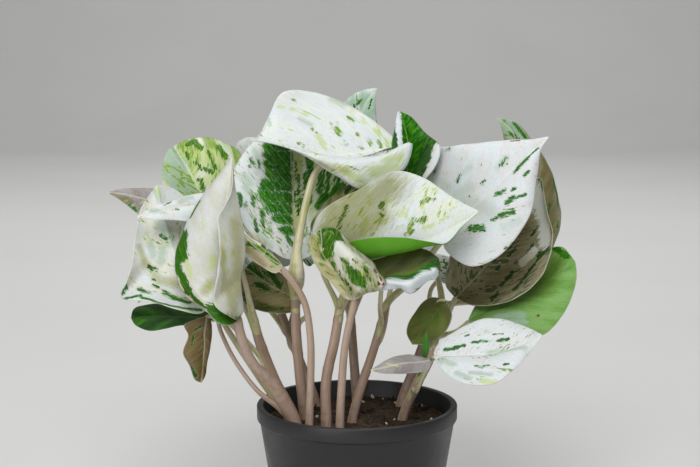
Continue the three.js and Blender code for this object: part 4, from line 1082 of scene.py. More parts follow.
def half_points(leaf, side, along, share):
    """Points of one half of a blade: along from base to tip, share from the rib to the margin."""
    lines = half_lines(leaf, side)
    if len(lines) == 2:
        return bowed_points(leaf, side, lines, along, share[..., None])
    return folded_points(lines, along, share[..., None])


def blade_points(leaf, along, across):
    """Points of a blade: along from base to tip, across from -1 at the left margin to 1 at the right."""
    left = half_points(leaf, "left", along, np.clip(-across, 0, 1))
    right = half_points(leaf, "right", along, np.clip(across, 0, 1))
    return np.where((across <= 0)[..., None], left, right)


def grid_normals(points):
    """The way a grid of points faces at each of them."""
    return unit(np.cross(np.gradient(points, axis=1), np.gradient(points, axis=0)))


def far_leaf(base, bearing, rise, bend, length, stem, at):
    """A far leaf: a heart outline on a sheet that arches over and tilts up either side of its rib."""
    heading, start, turn, tilt = (math.radians(angle) for angle in (bearing, rise, bend, HALF_TILT))
    ahead = np.array([math.cos(heading), math.sin(heading), 0])
    aside = np.array([-ahead[1], ahead[0], 0])
    up = np.array([0, 0, 1.0])
    arc = length / turn

    def place(along, across):
        """A point of the sheet, along and across it."""
        pitch = start - turn * along
        run = arc * (math.sin(start) - math.sin(pitch))
        climb = arc * (math.cos(pitch) - math.cos(start))
        lift = abs(across) * length * math.sin(tilt)
        level = ahead * (run - lift * math.sin(pitch)) + aside * across * length * math.cos(tilt)
        return np.array(base) + level + up * (climb + lift * math.cos(pitch))

    via = np.array(base) - FAR_STALK_BACK * length * ahead - FAR_STALK_DROP * length * up
    return {
        "rib": [place(share, 0) for share in RIB_SHARES],
        "left": [place(along, across) for along, across in HEART_OUTLINE],
        "right": [place(along, -across) for along, across in HEART_OUTLINE],
        "stalk": Stalk(stem, at, bearing, FAR_STALK_RADIUS, [via]),
    }


def taper_at(taper, share):
    """The share of the full radius at these shares of the length."""
    return np.interp(share, [place for place, _ in taper], [size for _, size in taper])


def grows_on(stalk):
    """Whether a stalk is the topmost of its stem and grows straight on from it."""
    return stalk.at >= TOPMOST


def seat(stalk):
    """Two points that hug a stem where a stalk leaves it, so that the stalk's foot clasps the stem."""
    stem = STEMS[stalk.stem]
    line = Line(stem.path)
    angle = math.radians(stalk.bearing)
    aside = np.array([math.cos(angle), math.sin(angle), 0])
    hugs = TOP_HUGS if grows_on(stalk) else SIDE_HUGS
    points = []
    for share, hug in zip((max(stalk.at - SHEATH_RUN / line.length, 0), stalk.at), hugs):
        tangent = line.heading(share)
        out = unit(aside - tangent * aside.dot(tangent))
        apart = stem.radius * taper_at(STEM_TAPER, share) * hug + stalk.radius * hug**3
        points.append(line.at(share) + out * apart)
    return points


def stalk_line(stalk, end):
    """The line of a stalk from its seat, or from inside the soil, to the end points given."""
    foot = seat(stalk) if stalk.stem else []
    return Line([*foot, *stalk.via, *end])


# The photograph's view: its line of sight, what is up in its picture, and its camera's eye in millimetres

PITCH = math.radians(CAMERA_PITCH)
AHEAD = np.array([0, math.cos(PITCH), -math.sin(PITCH)])
ABOVE = np.array([0, math.sin(PITCH), math.cos(PITCH)])
EYE = np.array([CAMERA_SIDE, 0, POT_HEIGHT]) - CAMERA_BACK * AHEAD + CAMERA_LIFT * ABOVE


def seen_at(points):
    """Where the photograph shows points given in millimetres: pixels from its left and from its top."""
    gone = points - EYE
    depth = gone @ AHEAD
    width, height = PHOTO_SIZE
    return width / 2 + PHOTO_FOCUS * gone[..., 0] / depth, height / 2 - PHOTO_FOCUS * (gone @ ABOVE) / depth


def placed_strokes(leaf, marks):
    """A leaf's strokes as shares along and across it, on the sheet nearest to the camera at their pixels."""
    lengths, widths = np.linspace(*MARK_ENDS, MARK_GRID), np.linspace(-1, 1, MARK_GRID)
    along, across = np.meshgrid(lengths, widths, indexing="ij")
    points = blade_points(leaf, along, across)
    left, top = seen_at(points)

    def shares_at(x, y):
        """The shares along and across at one pixel."""
        gap = np.hypot(left - x, top - y)
        nearest = np.argmin(np.where(gap < gap.min() + SAME_PIXEL, points[..., 1], np.inf))
        return tuple(round(float(shares.flat[nearest]), MARK_DIGITS) for shares in (along, across))

    return {
        kind: [(*shares_at(x_0, y_0), *shares_at(x_1, y_1), width) for x_0, y_0, x_1, y_1, width in strokes]
        for kind, strokes in marks.items()
    }


def stroke_field(leaf, points, strokes):
    """How deep each point lies in a leaf's strokes: 1 on a stroke's middle line, one half at its edge."""
    field = np.zeros(points.shape[:2])
    for along_0, across_0, along_1, across_1, width in strokes:
        ends = blade_points(leaf, np.array([along_0, along_1]), np.array([across_0, across_1]))
        reach = ends[1] - ends[0]
        share = np.clip(((points - ends[0]) @ reach) / max(reach @ reach, SHORTEST), 0, 1)
        gap = np.linalg.norm(points - ends[0] - share[..., None] * reach, axis=-1)
        field = np.maximum(field, np.clip(1 - gap / width, 0, 1))
    return field


# Mesh helpers


def deselect():
    """Leaves nothing selected, so that an operator acts on new things alone."""
    if bpy.context.object and bpy.context.object.mode != "OBJECT":
        bpy.ops.object.mode_set(mode="OBJECT")
    bpy.ops.object.select_all(action="DESELECT")


def only(piece):
    """Makes one object the active and only selected one."""
    deselect()
    piece.select_set(True)
    bpy.context.view_layer.objects.active = piece


def weld(piece):
    """Merges the points of a piece that coincide and turns its faces outwards."""
    only(piece)
    bpy.ops.object.mode_set(mode="EDIT")
    bpy.ops.mesh.select_all(action="SELECT")
    bpy.ops.mesh.remove_doubles(threshold=MERGE_DISTANCE)
    bpy.ops.mesh.normals_make_consistent()
    bpy.ops.object.mode_set(mode="OBJECT")


def pick(piece, kind, wanted):
    """Opens a piece for editing with only those of its polygons or edges selected that are wanted."""
    only(piece)
    bpy.ops.object.mode_set(mode="EDIT")
    bpy.ops.mesh.select_all(action="DESELECT")
    bpy.ops.object.mode_set(mode="OBJECT")
    for part in getattr(piece.data, kind):
        part.select = wanted(part)
    bpy.ops.object.mode_set(mode="EDIT")


def extrude(rise):
    """Extrudes what is selected straight up, by a rise in metres."""
    bpy.ops.mesh.extrude_region_move(TRANSFORM_OT_translate={"value": (0, 0, rise)})


def apply_modifier(piece, kind, **settings):
    """Adds a modifier to a piece and applies it."""
    only(piece)
    modifier = piece.modifiers.new(kind.title(), kind)
    for key, value in settings.items():
        setattr(modifier, key, value)
    bpy.ops.object.modifier_apply(modifier=modifier.name)


def grid_sheet(name, columns, rows):
    """A flat grid primitive, with its (rows, columns) grids of shares across and along, both from 0 to 1."""
    deselect()
    bpy.ops.mesh.primitive_grid_add(x_subdivisions=columns, y_subdivisions=rows, size=1)
    piece = bpy.context.object
    piece.name = piece.data.name = name
    shares = triples(piece.data.vertices, "co").reshape(rows + 1, columns + 1, 3) + 0.5
    return piece, shares[..., 0], shares[..., 1]


def triples(items, key):
    """The three numbers that each item of a mesh holds under a key, as rows."""
    flat = np.empty(3 * len(items))
    items.foreach_get(key, flat)
    return flat.reshape(-1, 3)


def shape(piece, points):
    """Moves a piece's vertices to these points, given in millimetres."""
    piece.data.vertices.foreach_set("co", (points * MM).ravel())
    piece.data.update()


def keep(piece, name, *values):
    """Stores three numbers a vertex on a piece, for its material."""
    attribute = piece.data.attributes.new(name, "FLOAT_VECTOR", "POINT")
    attribute.data.foreach_set("vector", np.stack(values, axis=-1).astype(float).ravel())


def join(first, *others):
    """Joins pieces into the first one."""
    only(first)
    for other in others:
        other.select_set(True)
    bpy.ops.object.join()


def settle(piece, slot, *nodes):
    """Smooths a finished piece, ties it to the plant and hides the CAD nodes that it stands for; its slot is
    not used.
    """
    only(piece)
    bpy.ops.object.shade_smooth()
    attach(piece, BODY)
    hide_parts(*nodes)


def tube(name, line, radii, sides, steps, squash=None):
    """A closed round bar along a line. radii gives its radius at each share of the length, in millimetres."""
    piece, around, along = grid_sheet(name, sides, steps)
    turned = 2 * np.pi * around
    centres, tangents = line.at(along[:, 0]), line.heading(along[:, 0])
    side = unit(np.cross(tangents[0], NO_LINE))
    points = []
    for centre, tangent, angle, share in zip(centres, tangents, turned, along[:, 0]):
        side = unit(side - tangent * side.dot(tangent))
        other = np.cross(tangent, side)
        radius = radii(share) * (1 if squash is None else squash(share, angle))
        ring = np.outer(np.cos(angle), side) + np.outer(np.sin(angle), other)
        points.append(centre + ring * np.reshape(radius * np.ones_like(angle), (-1, 1)))
    points = np.array(points)
    points[0], points[-1] = centres[0], centres[-1]
    shape(piece, points)
    keep(piece, "run", np.cos(turned), np.sin(turned), along * line.length)
    weld(piece)
    return piece


def mark_place(piece, line, seed):
    """Stores how far along its line each point of a bar is, for its material."""
    share = triples(piece.data.attributes["run"].data, "vector")[:, 2] / line.length
    keep(piece, "place", share, 0 * share, 0 * share + seed)


# Materials


class Finish:
    """A material whose nodes are added one by one."""

    def __init__(self, name, **shader):
        self.material = bpy.data.materials.new(name)
        self.material.use_nodes = True
        self.tree = self.material.node_tree
        self.shader = self.tree.nodes["Principled BSDF"]
        self.colour = None
        for socket, value in shader.items():
            self.shader.inputs[socket.replace("_", " ").title().replace("Ior", "IOR")].default_value = value

    def node(self, kind, inputs=(), **settings):
        """Adds a node and sets or links its inputs. Returns the node."""
        made = self.tree.nodes.new(kind)
        for key, value in settings.items():
            setattr(made, key, value)
        for key, value in dict(inputs).items():
            if isinstance(value, bpy.types.NodeSocket):
                self.tree.links.new(value, made.inputs[key])
            else:
                made.inputs[key].default_value = value
        return made

    def link(self, value, socket):
        """Leads a value to one of the shader's own sockets."""
        self.tree.links.new(value, self.shader.inputs[socket])

    def math(self, operation, *values):
        """A sum, product or other step on numbers."""
        return self.node("ShaderNodeMath", enumerate(values), operation=operation).outputs[0]

    def times(self, first, second):
        """Two numbers multiplied."""
        return self.math("MULTIPLY", first, second)

    def plus(self, first, second):
        """Two numbers added."""
        return self.math("ADD", first, second)

    def larger(self, first, second):
        """The larger of two numbers."""
        return self.math("MAXIMUM", first, second)

    def centred(self, value, size):
        """A pattern around one half, moved to lie around 0 and scaled."""
        return self.math("MULTIPLY_ADD", value, size, -size / 2)

    def attribute(self, name):
        """What a vertex attribute holds, as a vector."""
        return self.node("ShaderNodeAttribute", attribute_name=name).outputs["Vector"]

    def place(self):
        """The point of the object itself, in metres."""
        return self.node("ShaderNodeTexCoord").outputs["Object"]

    def split(self, vector):
        """The three parts of a vector."""
        return self.node("ShaderNodeSeparateXYZ", {0: vector}).outputs

    def noise(self, vector, scale, detail=2.0, roughness=0.5):
        """Cloudy noise around one half."""
        inputs = {"Vector": vector, "Scale": scale, "Detail": detail, "Roughness": roughness}
        return self.node("ShaderNodeTexNoise", inputs).outputs["Fac"]

    def pattern(self, name, vector, scale=1.0):
        """One of the patterns, laid along a vector."""
        stretch, detail, roughness = PATTERNS[name]
        stretched = self.node("ShaderNodeVectorMath", {0: vector, 1: stretch}, operation="MULTIPLY")
        return self.noise(stretched.outputs[0], scale, detail, roughness)

    def step(self, value, low, high, to_low=0.0, to_high=1.0):
        """A soft step of a value between two limits."""
        inputs = {"Value": value, "From Min": low, "From Max": high, "To Min": to_low, "To Max": to_high}
        return self.node("ShaderNodeMapRange", inputs, interpolation_type="SMOOTHSTEP").outputs[0]

    def blend(self, factor, first, second, mode="MIX"):
        """Two colours mixed by a factor."""
        inputs = {0: factor, 6: first, 7: second}
        return self.node("ShaderNodeMix", inputs, data_type="RGBA", blend_type=mode).outputs[2]

    def coat(self, mask, colour, mode="MIX"):
        """Lays a colour over what is painted so far, as strongly as the mask says."""
        self.colour = self.blend(mask, self.colour, colour, mode)

    def bump(self, height, strength, distance):
        """Fine relief from a height."""
        made = self.node("ShaderNodeBump", {"Strength": strength, "Distance": distance, "Height": height})
        self.link(made.outputs[0], "Normal")


def rgba(colour):
    """A colour with full alpha."""
    return (*colour, 1.0)


def shaded(colour, share):
    """A colour made darker, with full alpha."""
    return rgba(share * part for part in colour)


def leaf_finish(name, look, settings):
    """Leaf skin: torn marks and flecks that lie along the veins, pale veins, soft clouds, painted shade and
    highlight, and a soft gloss.
    """
    finish = Finish(name, specular_ior_level=0.08, subsurface_weight=0.06, subsurface_scale=0.0015)
    vein = finish.attribute("vein")
    along_veins, out, _ = finish.split(vein)
    fine = finish.pattern("fine", vein)
    streaks = finish.pattern("streaks", vein)
    spots = finish.pattern("spots", vein, look["grain"])
    clouds = finish.pattern("clouds", vein)
    greens, limes, greys = finish.split(finish.attribute("marks"))
    deeps, olive_and_shade_strokes, rusts = finish.split(finish.attribute("stains"))
    whites_and_highlights, rim, under = finish.split(finish.attribute("rim"))
    tear = finish.plus(finish.centred(streaks, STREAK_TEAR), finish.centred(fine, FINE_TEAR))
    clouded = finish.math("MULTIPLY_ADD", clouds, CLOUD_STREW, spots)
    strew = finish.plus(clouded, finish.times(fine, FINE_STREW))

    def placed(kind, field):
        """A placed mark's mask, with an uneven edge."""
        low, high, torn = MARK_EDGES[kind]
        mask = finish.step(finish.math("MULTIPLY_ADD", tear, torn, field), low, high)
        return finish.times(mask, finish.step(field, *STEPS["mark_start"]))

    def strewn(share, softness):
        """Flecks that cover about this share of the leaf."""
        if share <= 0:
            return 0.0
        limit = STREW_MIDDLE + STREW_SPREAD * NormalDist().inv_cdf(1 - share)
        return finish.step(strew, limit, limit + softness)

    green, deep = rgba(look.get("green", settings.green)), rgba(look.get("dark", settings.deep_green))
    lime, grey_green = rgba(settings.lime), rgba(settings.grey_green)

    # The ground and its soft clouds
    cloudy = finish.step(clouds, *STEPS["ground"])
    finish.colour = finish.blend(cloudy, rgba(look["ground"]), rgba(look["second"]))
    finish.coat(finish.step(finish.pattern("mottle", vein), *STEPS["mottle"], 0, look["mottle"]), grey_green)
    finish.coat(finish.step(finish.pattern("faint", vein), *STEPS["faint"], 0, look["faint"]), lime)
    finish.coat(finish.times(placed("grey", greys), look["clouds"]), grey_green)
    halo = finish.step(finish.larger(greens, deeps), *STEPS["halo"])
    finish.coat(finish.times(halo, look["halo"]), grey_green)

    # Lime and green marks and flecks
    lime_flecks = strewn(look["limes"] * settings.flecks, LIME_SOFTNESS)
    finish.coat(finish.times(finish.larger(placed("lime", limes), lime_flecks), LIME_COVER), lime)
    green_flecks = strewn(look["specks"] * settings.flecks, SPECK_SOFTNESS)
    finish.coat(finish.times(green_flecks, SPECK_COVER), green)
    torn_green = finish.blend(finish.step(streaks, *STEPS["tone"]), green, deep)
    finish.coat(finish.times(placed("green", greens), GREEN_COVER), torn_green)
    solid = finish.larger(placed("deep", deeps), strewn(look["solid"], SOLID_SOFTNESS))
    pale = finish.step(fine, *STEPS["crackle"], 1.0, look["crackle"])
    patch = finish.blend(finish.step(streaks, *STEPS["patch"]), deep, green)
    finish.coat(finish.times(solid, pale), patch)
    # White strokes: pale patches, and a painted highlight on the spotted leaf
    finish.coat(placed("white", whites_and_highlights), rgba(look.get("bright", SNOW)))

    # Veins, painted shade with some brownish tint, bruises, margin and underside
    line = finish.step(finish.math("PINGPONG", along_veins, VEIN_SPACING / 2), *STEPS["vein"], 1, 0)
    seen = (share * look["veins"] for share in VEIN_COVER)
    line = finish.times(line, finish.step(streaks, *STEPS["vein_seen"], *seen))
    rib = finish.step(out, *STEPS["rib"], LINE_COVER, 0)
    finish.coat(finish.larger(line, rib), rgba(look.get("vein", settings.vein)))
    # Olive strokes multiply in a darker colour: painted shade with some brownish tint
    shade = finish.times(placed("olive_and_painted_shade", olive_and_shade_strokes), SHADE_COVER)
    finish.coat(shade, rgba(look.get("shade", settings.olive_and_painted_shade)), "MULTIPLY")
    finish.coat(placed("rust", rusts), rgba(settings.rust))
    finish.coat(finish.step(rim, *STEPS["edge"], LINE_COVER, 0), rgba(look.get("edge", settings.edge)))
    if "under" in look:
        lower = rgba(look["under"])
    else:
        lower = finish.blend(finish.step(streaks, *STEPS["middle"]), rgba(settings.underside), lime)
    finish.coat(finish.times(under, look["under_share"]), lower)

    finish.link(finish.colour, "Base Color")
    finish.link(finish.step(fine, *STEPS["middle"], *LEAF_ROUGHNESS), "Roughness")
    height = finish.plus(finish.times(line, VEIN_RELIEF), finish.times(fine, FINE_RELIEF))
    finish.bump(height, strength=0.6, distance=0.0004)
    return finish.material


def skin_finish(name, pale, streak, scar, scars, roughness):
    """The skin of stalks and stems: long soft streaks, fine brown specks and darker scars near the foot."""
    finish = Finish(name, specular_ior_level=0.45, subsurface_weight=0.1, subsurface_scale=0.002)
    run = finish.attribute("run")
    place, _, _ = finish.split(finish.attribute("place"))
    long_streaks = finish.pattern("long", run)
    blotches = finish.pattern("blotches", run)
    specks = finish.pattern("specks", run)
    finish.colour = finish.blend(finish.step(long_streaks, *STEPS["long"]), rgba(pale), rgba(streak))
    foot = finish.step(place, *STEPS["foot"], scars, FOOT_SHARE * scars)
    finish.coat(finish.times(finish.step(blotches, *STEPS["scars"]), foot), rgba(scar))
    finish.coat(finish.times(finish.step(specks, *STEPS["dots"]), DOT_COVER), rgba(scar))
    finish.link(finish.colour, "Base Color")
    smoothest, roughest = (roughness + change for change in SKIN_ROUGHNESS)
    finish.link(finish.step(blotches, *STEPS["middle"], smoothest, roughest), "Roughness")
    finish.bump(finish.plus(long_streaks, finish.times(specks, SPECK_RELIEF)), strength=0.3, distance=0.0005)
    return finish.material


def pot_finish(settings):
    """Near-black moulded plastic: fine grain and dusty patches that are also rougher."""
    finish = Finish("pot_plastic", specular_ior_level=0.5)
    place = finish.place()
    dust = finish.noise(place, scale=26.0, detail=5.0, roughness=0.65)
    grain = finish.noise(place, scale=1800.0)
    dusty = finish.step(dust, *STEPS["dust"], 0, DUST_COVER)
    finish.link(finish.blend(dusty, rgba(settings.colour), rgba(settings.dust)), "Base Color")
    finish.link(finish.step(dust, *STEPS["middle"], *POT_ROUGHNESS), "Roughness")
    finish.bump(grain, strength=0.25, distance=0.0002)
    return finish.material


def soil_finish(name, colour, light, roughness):
    """Loose potting mix, or a crumb of it, from dark fibres to paler bark."""
    finish = Finish(name, roughness=roughness, specular_ior_level=0.25)
    place = finish.place()
    crumbs = finish.noise(place, scale=420.0, detail=6.0, roughness=0.7)
    patches = finish.noise(place, scale=60.0, detail=3.0)
    finish.colour = finish.blend(finish.step(crumbs, *STEPS["bark"]), rgba(colour), rgba(light))
    finish.coat(finish.step(patches, *STEPS["damp"], 0, DAMP_COVER), shaded(colour, DAMP_SHADE))
    finish.link(finish.colour, "Base Color")
    finish.bump(crumbs, strength=0.8, distance=0.0012)
    return finish.material


def paper_finish(colour):
    """Even studio paper with the faintest clouds."""
    finish = Finish("studio_paper", roughness=0.9, specular_ior_level=0.2)
    clouds = finish.step(finish.noise(finish.place(), scale=3.0), *STEPS["middle"])
    finish.link(finish.blend(clouds, rgba(colour), shaded(colour, FLOOR_SHADE)), "Base Color")
    return finish.material


def stalk_skin(tint, settings):
    """The skin that stalks of one tint share."""
    name = f"{tint}_stalk_skin"
    pale, streak = settings.stalk, settings.stalk_streak
    if tint == "pink":
        pale, streak = settings.pink, settings.pink_streak
    made = bpy.data.materials.get(name)
    return made or skin_finish(name, pale, streak, settings.scar, STALK_SCARS, roughness=0.42)


# Settings


def colour_setting(name, description, default):
    """A setting that holds a colour."""
    return FloatVectorProperty(
        name=name, description=description, subtype="COLOR", default=default, min=0, max=1
    )


def length_setting(name, description, default, least, most):
    """A setting that holds a length, in metres."""
    return FloatProperty(
        name=name, description=description, unit="LENGTH", default=default, min=least, max=most
    )


def power_setting(name, description, default):
    """A setting that holds the power of a light."""
    return FloatProperty(name=name, description=description, unit="POWER", default=default, min=0)


class PotSettings(bpy.types.PropertyGroup):
    colour: colour_setting("Plastic", "Colour of the pot", (0.012, 0.012, 0.013))
    dust: colour_setting("Dust", "Colour of dry splashes on the pot", (0.05, 0.045, 0.04))
    edge: length_setting("Edge", "Rounding of the pot's edges", 0.0006, 0.0001, 0.001)


class SoilSettings(bpy.types.PropertyGroup):
    colour: colour_setting("Soil", "Colour of the moist soil", (0.028, 0.017, 0.01))
    bark: colour_setting("Bark", "Colour of bark and fibres in it", (0.13, 0.08, 0.045))
    grit: colour_setting("Grit", "Colour of the pale grit in it", (0.62, 0.58, 0.5))
    relief: length_setting("Relief", "Height of the soil's bumps", 0.0016, 0, 0.003)
    crumbs: IntProperty(name="Crumbs", description="Loose crumbs on the soil", default=150, min=0, max=400)
    seed: IntProperty(name="Seed", description="Where the crumbs fall", default=11)


class LeafSettings(bpy.types.PropertyGroup):
    thickness: length_setting("Thickness", "Thickness of a blade", 0.00045, 0.0003, 0.0007)
    ripple: length_setting("Ripple", "Height of the waves along a margin", 0.0006, 0, 0.001)
    groove: length_setting("Groove", "Depth of the groove over the midrib", 0.0004, 0, 0.001)
    flecks: FloatProperty(name="Flecks", description="How many flecks there are", default=1.0, min=0, max=2)
    green: colour_setting("Green", "Fleck green", (0.045, 0.21, 0.002))
    deep_green: colour_setting("Deep green", "Solid patches", (0.004, 0.09, 0.001))
    lime: colour_setting("Lime", "Faint flecks", (0.46, 0.56, 0.2))
    grey_green: colour_setting("Grey green", "Soft clouds under the white", (0.3, 0.42, 0.31))
    vein: colour_setting("Veins", "Pale veins", (0.74, 0.76, 0.6))
    # Olive strokes multiply this colour in: painted shade with a brownish tint
    olive_and_painted_shade: colour_setting("Olive", "Brownish shade", (0.6, 0.57, 0.3))
    rust: colour_setting("Rust", "Small bruises", (0.16, 0.02, 0.02))
    edge: colour_setting("Margin", "Thin rim of a blade", (0.66, 0.68, 0.56))
    underside: colour_setting("Underside", "Duller tone below a blade", (0.5, 0.55, 0.38))
    stalk: colour_setting("Stalk", "Pale stalk skin", (0.6, 0.55, 0.41))
    stalk_streak: colour_setting("Stalk streak", "Olive streaks in it", (0.37, 0.37, 0.14))
    pink: colour_setting("Pink", "Skin of the pinkish stalks", (0.43, 0.32, 0.27))
    pink_streak: colour_setting("Pink streak", "Duller streaks in it", (0.34, 0.25, 0.17))
    scar: colour_setting("Scar", "Brown scars low down", (0.11, 0.05, 0.028))


class StemSettings(bpy.types.PropertyGroup):
    # Both tones are darker than the stems' own skin: painted shade from the leaves above
    pale: colour_setting("Skin", "Pale stem skin", (0.38, 0.27, 0.22))
    streak: colour_setting("Streak", "Darker streaks", (0.27, 0.19, 0.12))
    ring: length_setting("Rings", "Height of the rings at old leaf scars", 0.0002, 0, 0.001)


class StudioSettings(bpy.types.PropertyGroup):
    floor: colour_setting("Floor", "Colour of the floor", (0.72, 0.72, 0.71))
    key: power_setting("Key", "Strength of the large light", 12.0)
    fill: power_setting("Fill", "Strength of the side light", 4.5)
    wall: power_setting("Wall", "Strength of the light behind the plant", 45.0)
    air: FloatProperty(name="Air", description="Strength of the light all round", default=0.16, min=0)


# Pieces


class POTHOS_OT_pot(bpy.types.Operator):
    """Adds the nursery pot with its rim band and drain holes"""

    bl_idname = "pothos.pot"
    bl_label = "Pot"

    def execute(self, context):
        settings = context.scene.pothos_pot
        shell = RIM_RADIUS - RIM_STEP
        taper = (shell - BASE_RADIUS) / (POT_HEIGHT - RIM_DEPTH)
        wide = BASE_RADIUS + taper * FIRST_RING
        rings = [
            (wide, FIRST_RING),
            (shell, POT_HEIGHT - RIM_DEPTH),
            (RIM_RADIUS, POT_HEIGHT - RIM_DEPTH + RIM_SLOPE),
            (RIM_RADIUS, POT_HEIGHT),
            (shell - WALL, POT_HEIGHT),
            (BASE_RADIUS - WALL + taper * WALL, WALL),
        ]
        deselect()
        place = (0, 0, FIRST_RING / 2 * MM)
        bpy.ops.mesh.primitive_cylinder_add(
            vertices=POT_SIDES, radius=BASE_RADIUS * MM, depth=FIRST_RING * MM, location=place
        )
        pot = context.object
        pot.name = pot.data.name = "nursery_pot"
        bpy.ops.object.transform_apply(location=True)
        pick(pot, "polygons", lambda face: face.normal.z > FACES_UP)
        self.widen(wide / BASE_RADIUS)
        for (radius, height), (next_radius, next_height) in zip(rings, rings[1:]):
            extrude((next_height - height) * MM)
            self.widen(next_radius / radius)
        bpy.ops.object.mode_set(mode="OBJECT")

        cutter = self.drains(context)
        apply_modifier(pot, "BOOLEAN", object=cutter, operation="DIFFERENCE", solver="EXACT")
        bpy.data.objects.remove(cutter)
        limit = math.radians(EDGE_ANGLE)
        rounding = {"width": settings.edge, "segments": EDGE_STEPS}
        apply_modifier(pot, "BEVEL", limit_method="ANGLE", angle_limit=limit, **rounding)
        pot.data.materials.clear()
        pot.data.materials.append(pot_finish(settings))
        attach(pot, BODY)
        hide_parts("pot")
        only(pot)
        bpy.ops.object.shade_smooth_by_angle(angle=math.radians(SMOOTH_ANGLE))
        return {"FINISHED"}

    @staticmethod
    def widen(scale):
        """Scales what is selected away from the pot's axis."""
        bpy.ops.transform.resize(value=(scale, scale, 1))

    @staticmethod
    def drains(context):
        """The pegs that cut the drain holes, as one object."""
        pegs = []
        for number in range(DRAIN_COUNT):
            angle = 2 * math.pi * (number + 0.5) / DRAIN_COUNT
            place = (DRAIN_RING * math.cos(angle) * MM, DRAIN_RING * math.sin(angle) * MM, 0)
            deselect()
            bpy.ops.mesh.primitive_cylinder_add(
                vertices=DRAIN_SIDES, radius=DRAIN_RADIUS * MM, depth=4 * WALL * MM, location=place
            )
            pegs.append(context.object)
        join(*pegs)
        return context.object


class POTHOS_OT_soil(bpy.types.Operator):
    """Adds the soil with its crumbs and pale grit"""

    bl_idname = "pothos.soil"
    bl_label = "Soil"

    def execute(self, context):
        settings = context.scene.pothos_soil
        rng = np.random.default_rng(settings.seed)
        soil, around, along = grid_sheet("potting_soil", *SOIL_GRID)
        points = self.body(around, along)
        relief = np.zeros_like(along)
        for size in WAVE_LENGTHS:
            for _ in range(WAVES_EACH):
                heading, phase = rng.uniform(0, 2 * np.pi, 2)
                run = points[..., 0] * np.cos(heading) + points[..., 1] * np.sin(heading)
                height = (size / WAVE_LENGTHS[0]) ** WAVE_POWER
                relief += height * np.sin(2 * np.pi * run / size + phase) / WAVES_EACH
        top = smooth(along, *TOP_SHARES)
        points[..., 2] += np.clip(relief, -1, 1) * settings.relief / MM * 0.5 * top
        shape(soil, points)
        weld(soil)
        mix = soil_finish("potting_mix", settings.colour, settings.bark, roughness=0.95)
        grit = soil_finish("pale_grit", settings.grit, settings.grit, roughness=0.8)
        for material in (mix, grit):
            soil.data.materials.append(material)
        join(soil, *[self.crumb(context, soil, rng, i % GRIT_EVERY == 0) for i in range(settings.crumbs)])
        settle(soil, "potting_soil", "soil")
        return {"FINISHED"}

    @staticmethod
    def body(around, along):
        """The soil's even body as a turned sheet, from the middle of its floor to the middle of its top."""
        wall = BASE_RADIUS - WALL
        slope = (RIM_RADIUS - RIM_STEP - WALL - wall) / POT_HEIGHT
        floor = WALL + CLEARANCE
        profile = (
            (0, floor),
            (wall + slope * floor - CLEARANCE, floor),
            (wall + slope * (SOIL_TOP - SHOULDER) - CLEARANCE, SOIL_TOP - SHOULDER),
            (wall + slope * SOIL_TOP - SHOULDER_GAP, SOIL_TOP - SOIL_RISE),
            (0.5 * RIM_RADIUS, SOIL_TOP + SOIL_RISE),
            (0, SOIL_TOP + 2 * SOIL_RISE),
        )
        radius, height = (np.interp(along, SOIL_SHARES, sizes) for sizes in zip(*profile))
        angle = 2 * np.pi * around
        return np.stack([radius * np.cos(angle), radius * np.sin(angle), height], axis=-1)

    @staticmethod
    def crumb(context, soil, rng, pale):
        """One loose crumb of the mix, or of its pale grit, on top of the soil."""
        reach = CRUMB_REACH * math.sqrt(rng.uniform(0, 1))
        turn = rng.uniform(0, 2 * math.pi)
        size = rng.uniform(*CRUMB_SIZES) * MM
        rotation = rng.uniform(0, math.pi, 3)
        if pale:
            scale = (1, rng.uniform(*GRIT_WIDTHS), rng.uniform(*GRIT_THICKNESSES))
        else:
            scale = (rng.uniform(*CRUMB_LENGTHS), CRUMB_WIDTH, CRUMB_THICKNESS)
        deselect()
        bpy.ops.mesh.primitive_ico_sphere_add(
            subdivisions=2,
            radius=size,
            location=(reach * math.cos(turn) * MM, reach * math.sin(turn) * MM, (SOIL_TOP + CRUMB_LIFT) * MM),
            rotation=rotation,
            scale=scale,
        )
        crumb = context.object
        for vertex in crumb.data.vertices:
            vertex.co *= 1 + rng.uniform(-CRUMB_ROUGHNESS, CRUMB_ROUGHNESS)
        for material in soil.data.materials:
            crumb.data.materials.append(material)
        for face in crumb.data.polygons:
            face.material_index = int(pale)
        return crumb


class POTHOS_OT_stems(bpy.types.Operator):
    """Adds the main stems"""

    bl_idname = "pothos.stems"
    bl_label = "Stems"

    def execute(self, context):
        settings, scar = context.scene.pothos_stems, context.scene.pothos_leaves.scar
        skin = skin_finish("stem_skin", settings.pale, settings.streak, scar, STEM_SCARS, roughness=0.5)
        for number, (name, stem) in enumerate(STEMS.items()):
            line = Line(stem.path)
            ring = settings.ring / MM

            def radii(share, stem=stem, line=line, number=number):
                """The stem's radius with a low ring at each old leaf scar."""
                past = (share * line.length + SCAR_SHIFT * number) % SCAR_SPACING - SCAR_SPACING / 2
                raised = ring * math.exp(-((past / SCAR_WIDTH) ** 2))
                return stem.radius * taper_at(STEM_TAPER, share) + raised

            piece = tube(f"{name}_stem", line, radii, STEM_SIDES, STEM_STEPS)
            mark_place(piece, line, number)
            piece.data.materials.append(skin)
            settle(piece, "stem_skin", f"stem_{name}")
        return {"FINISHED"}


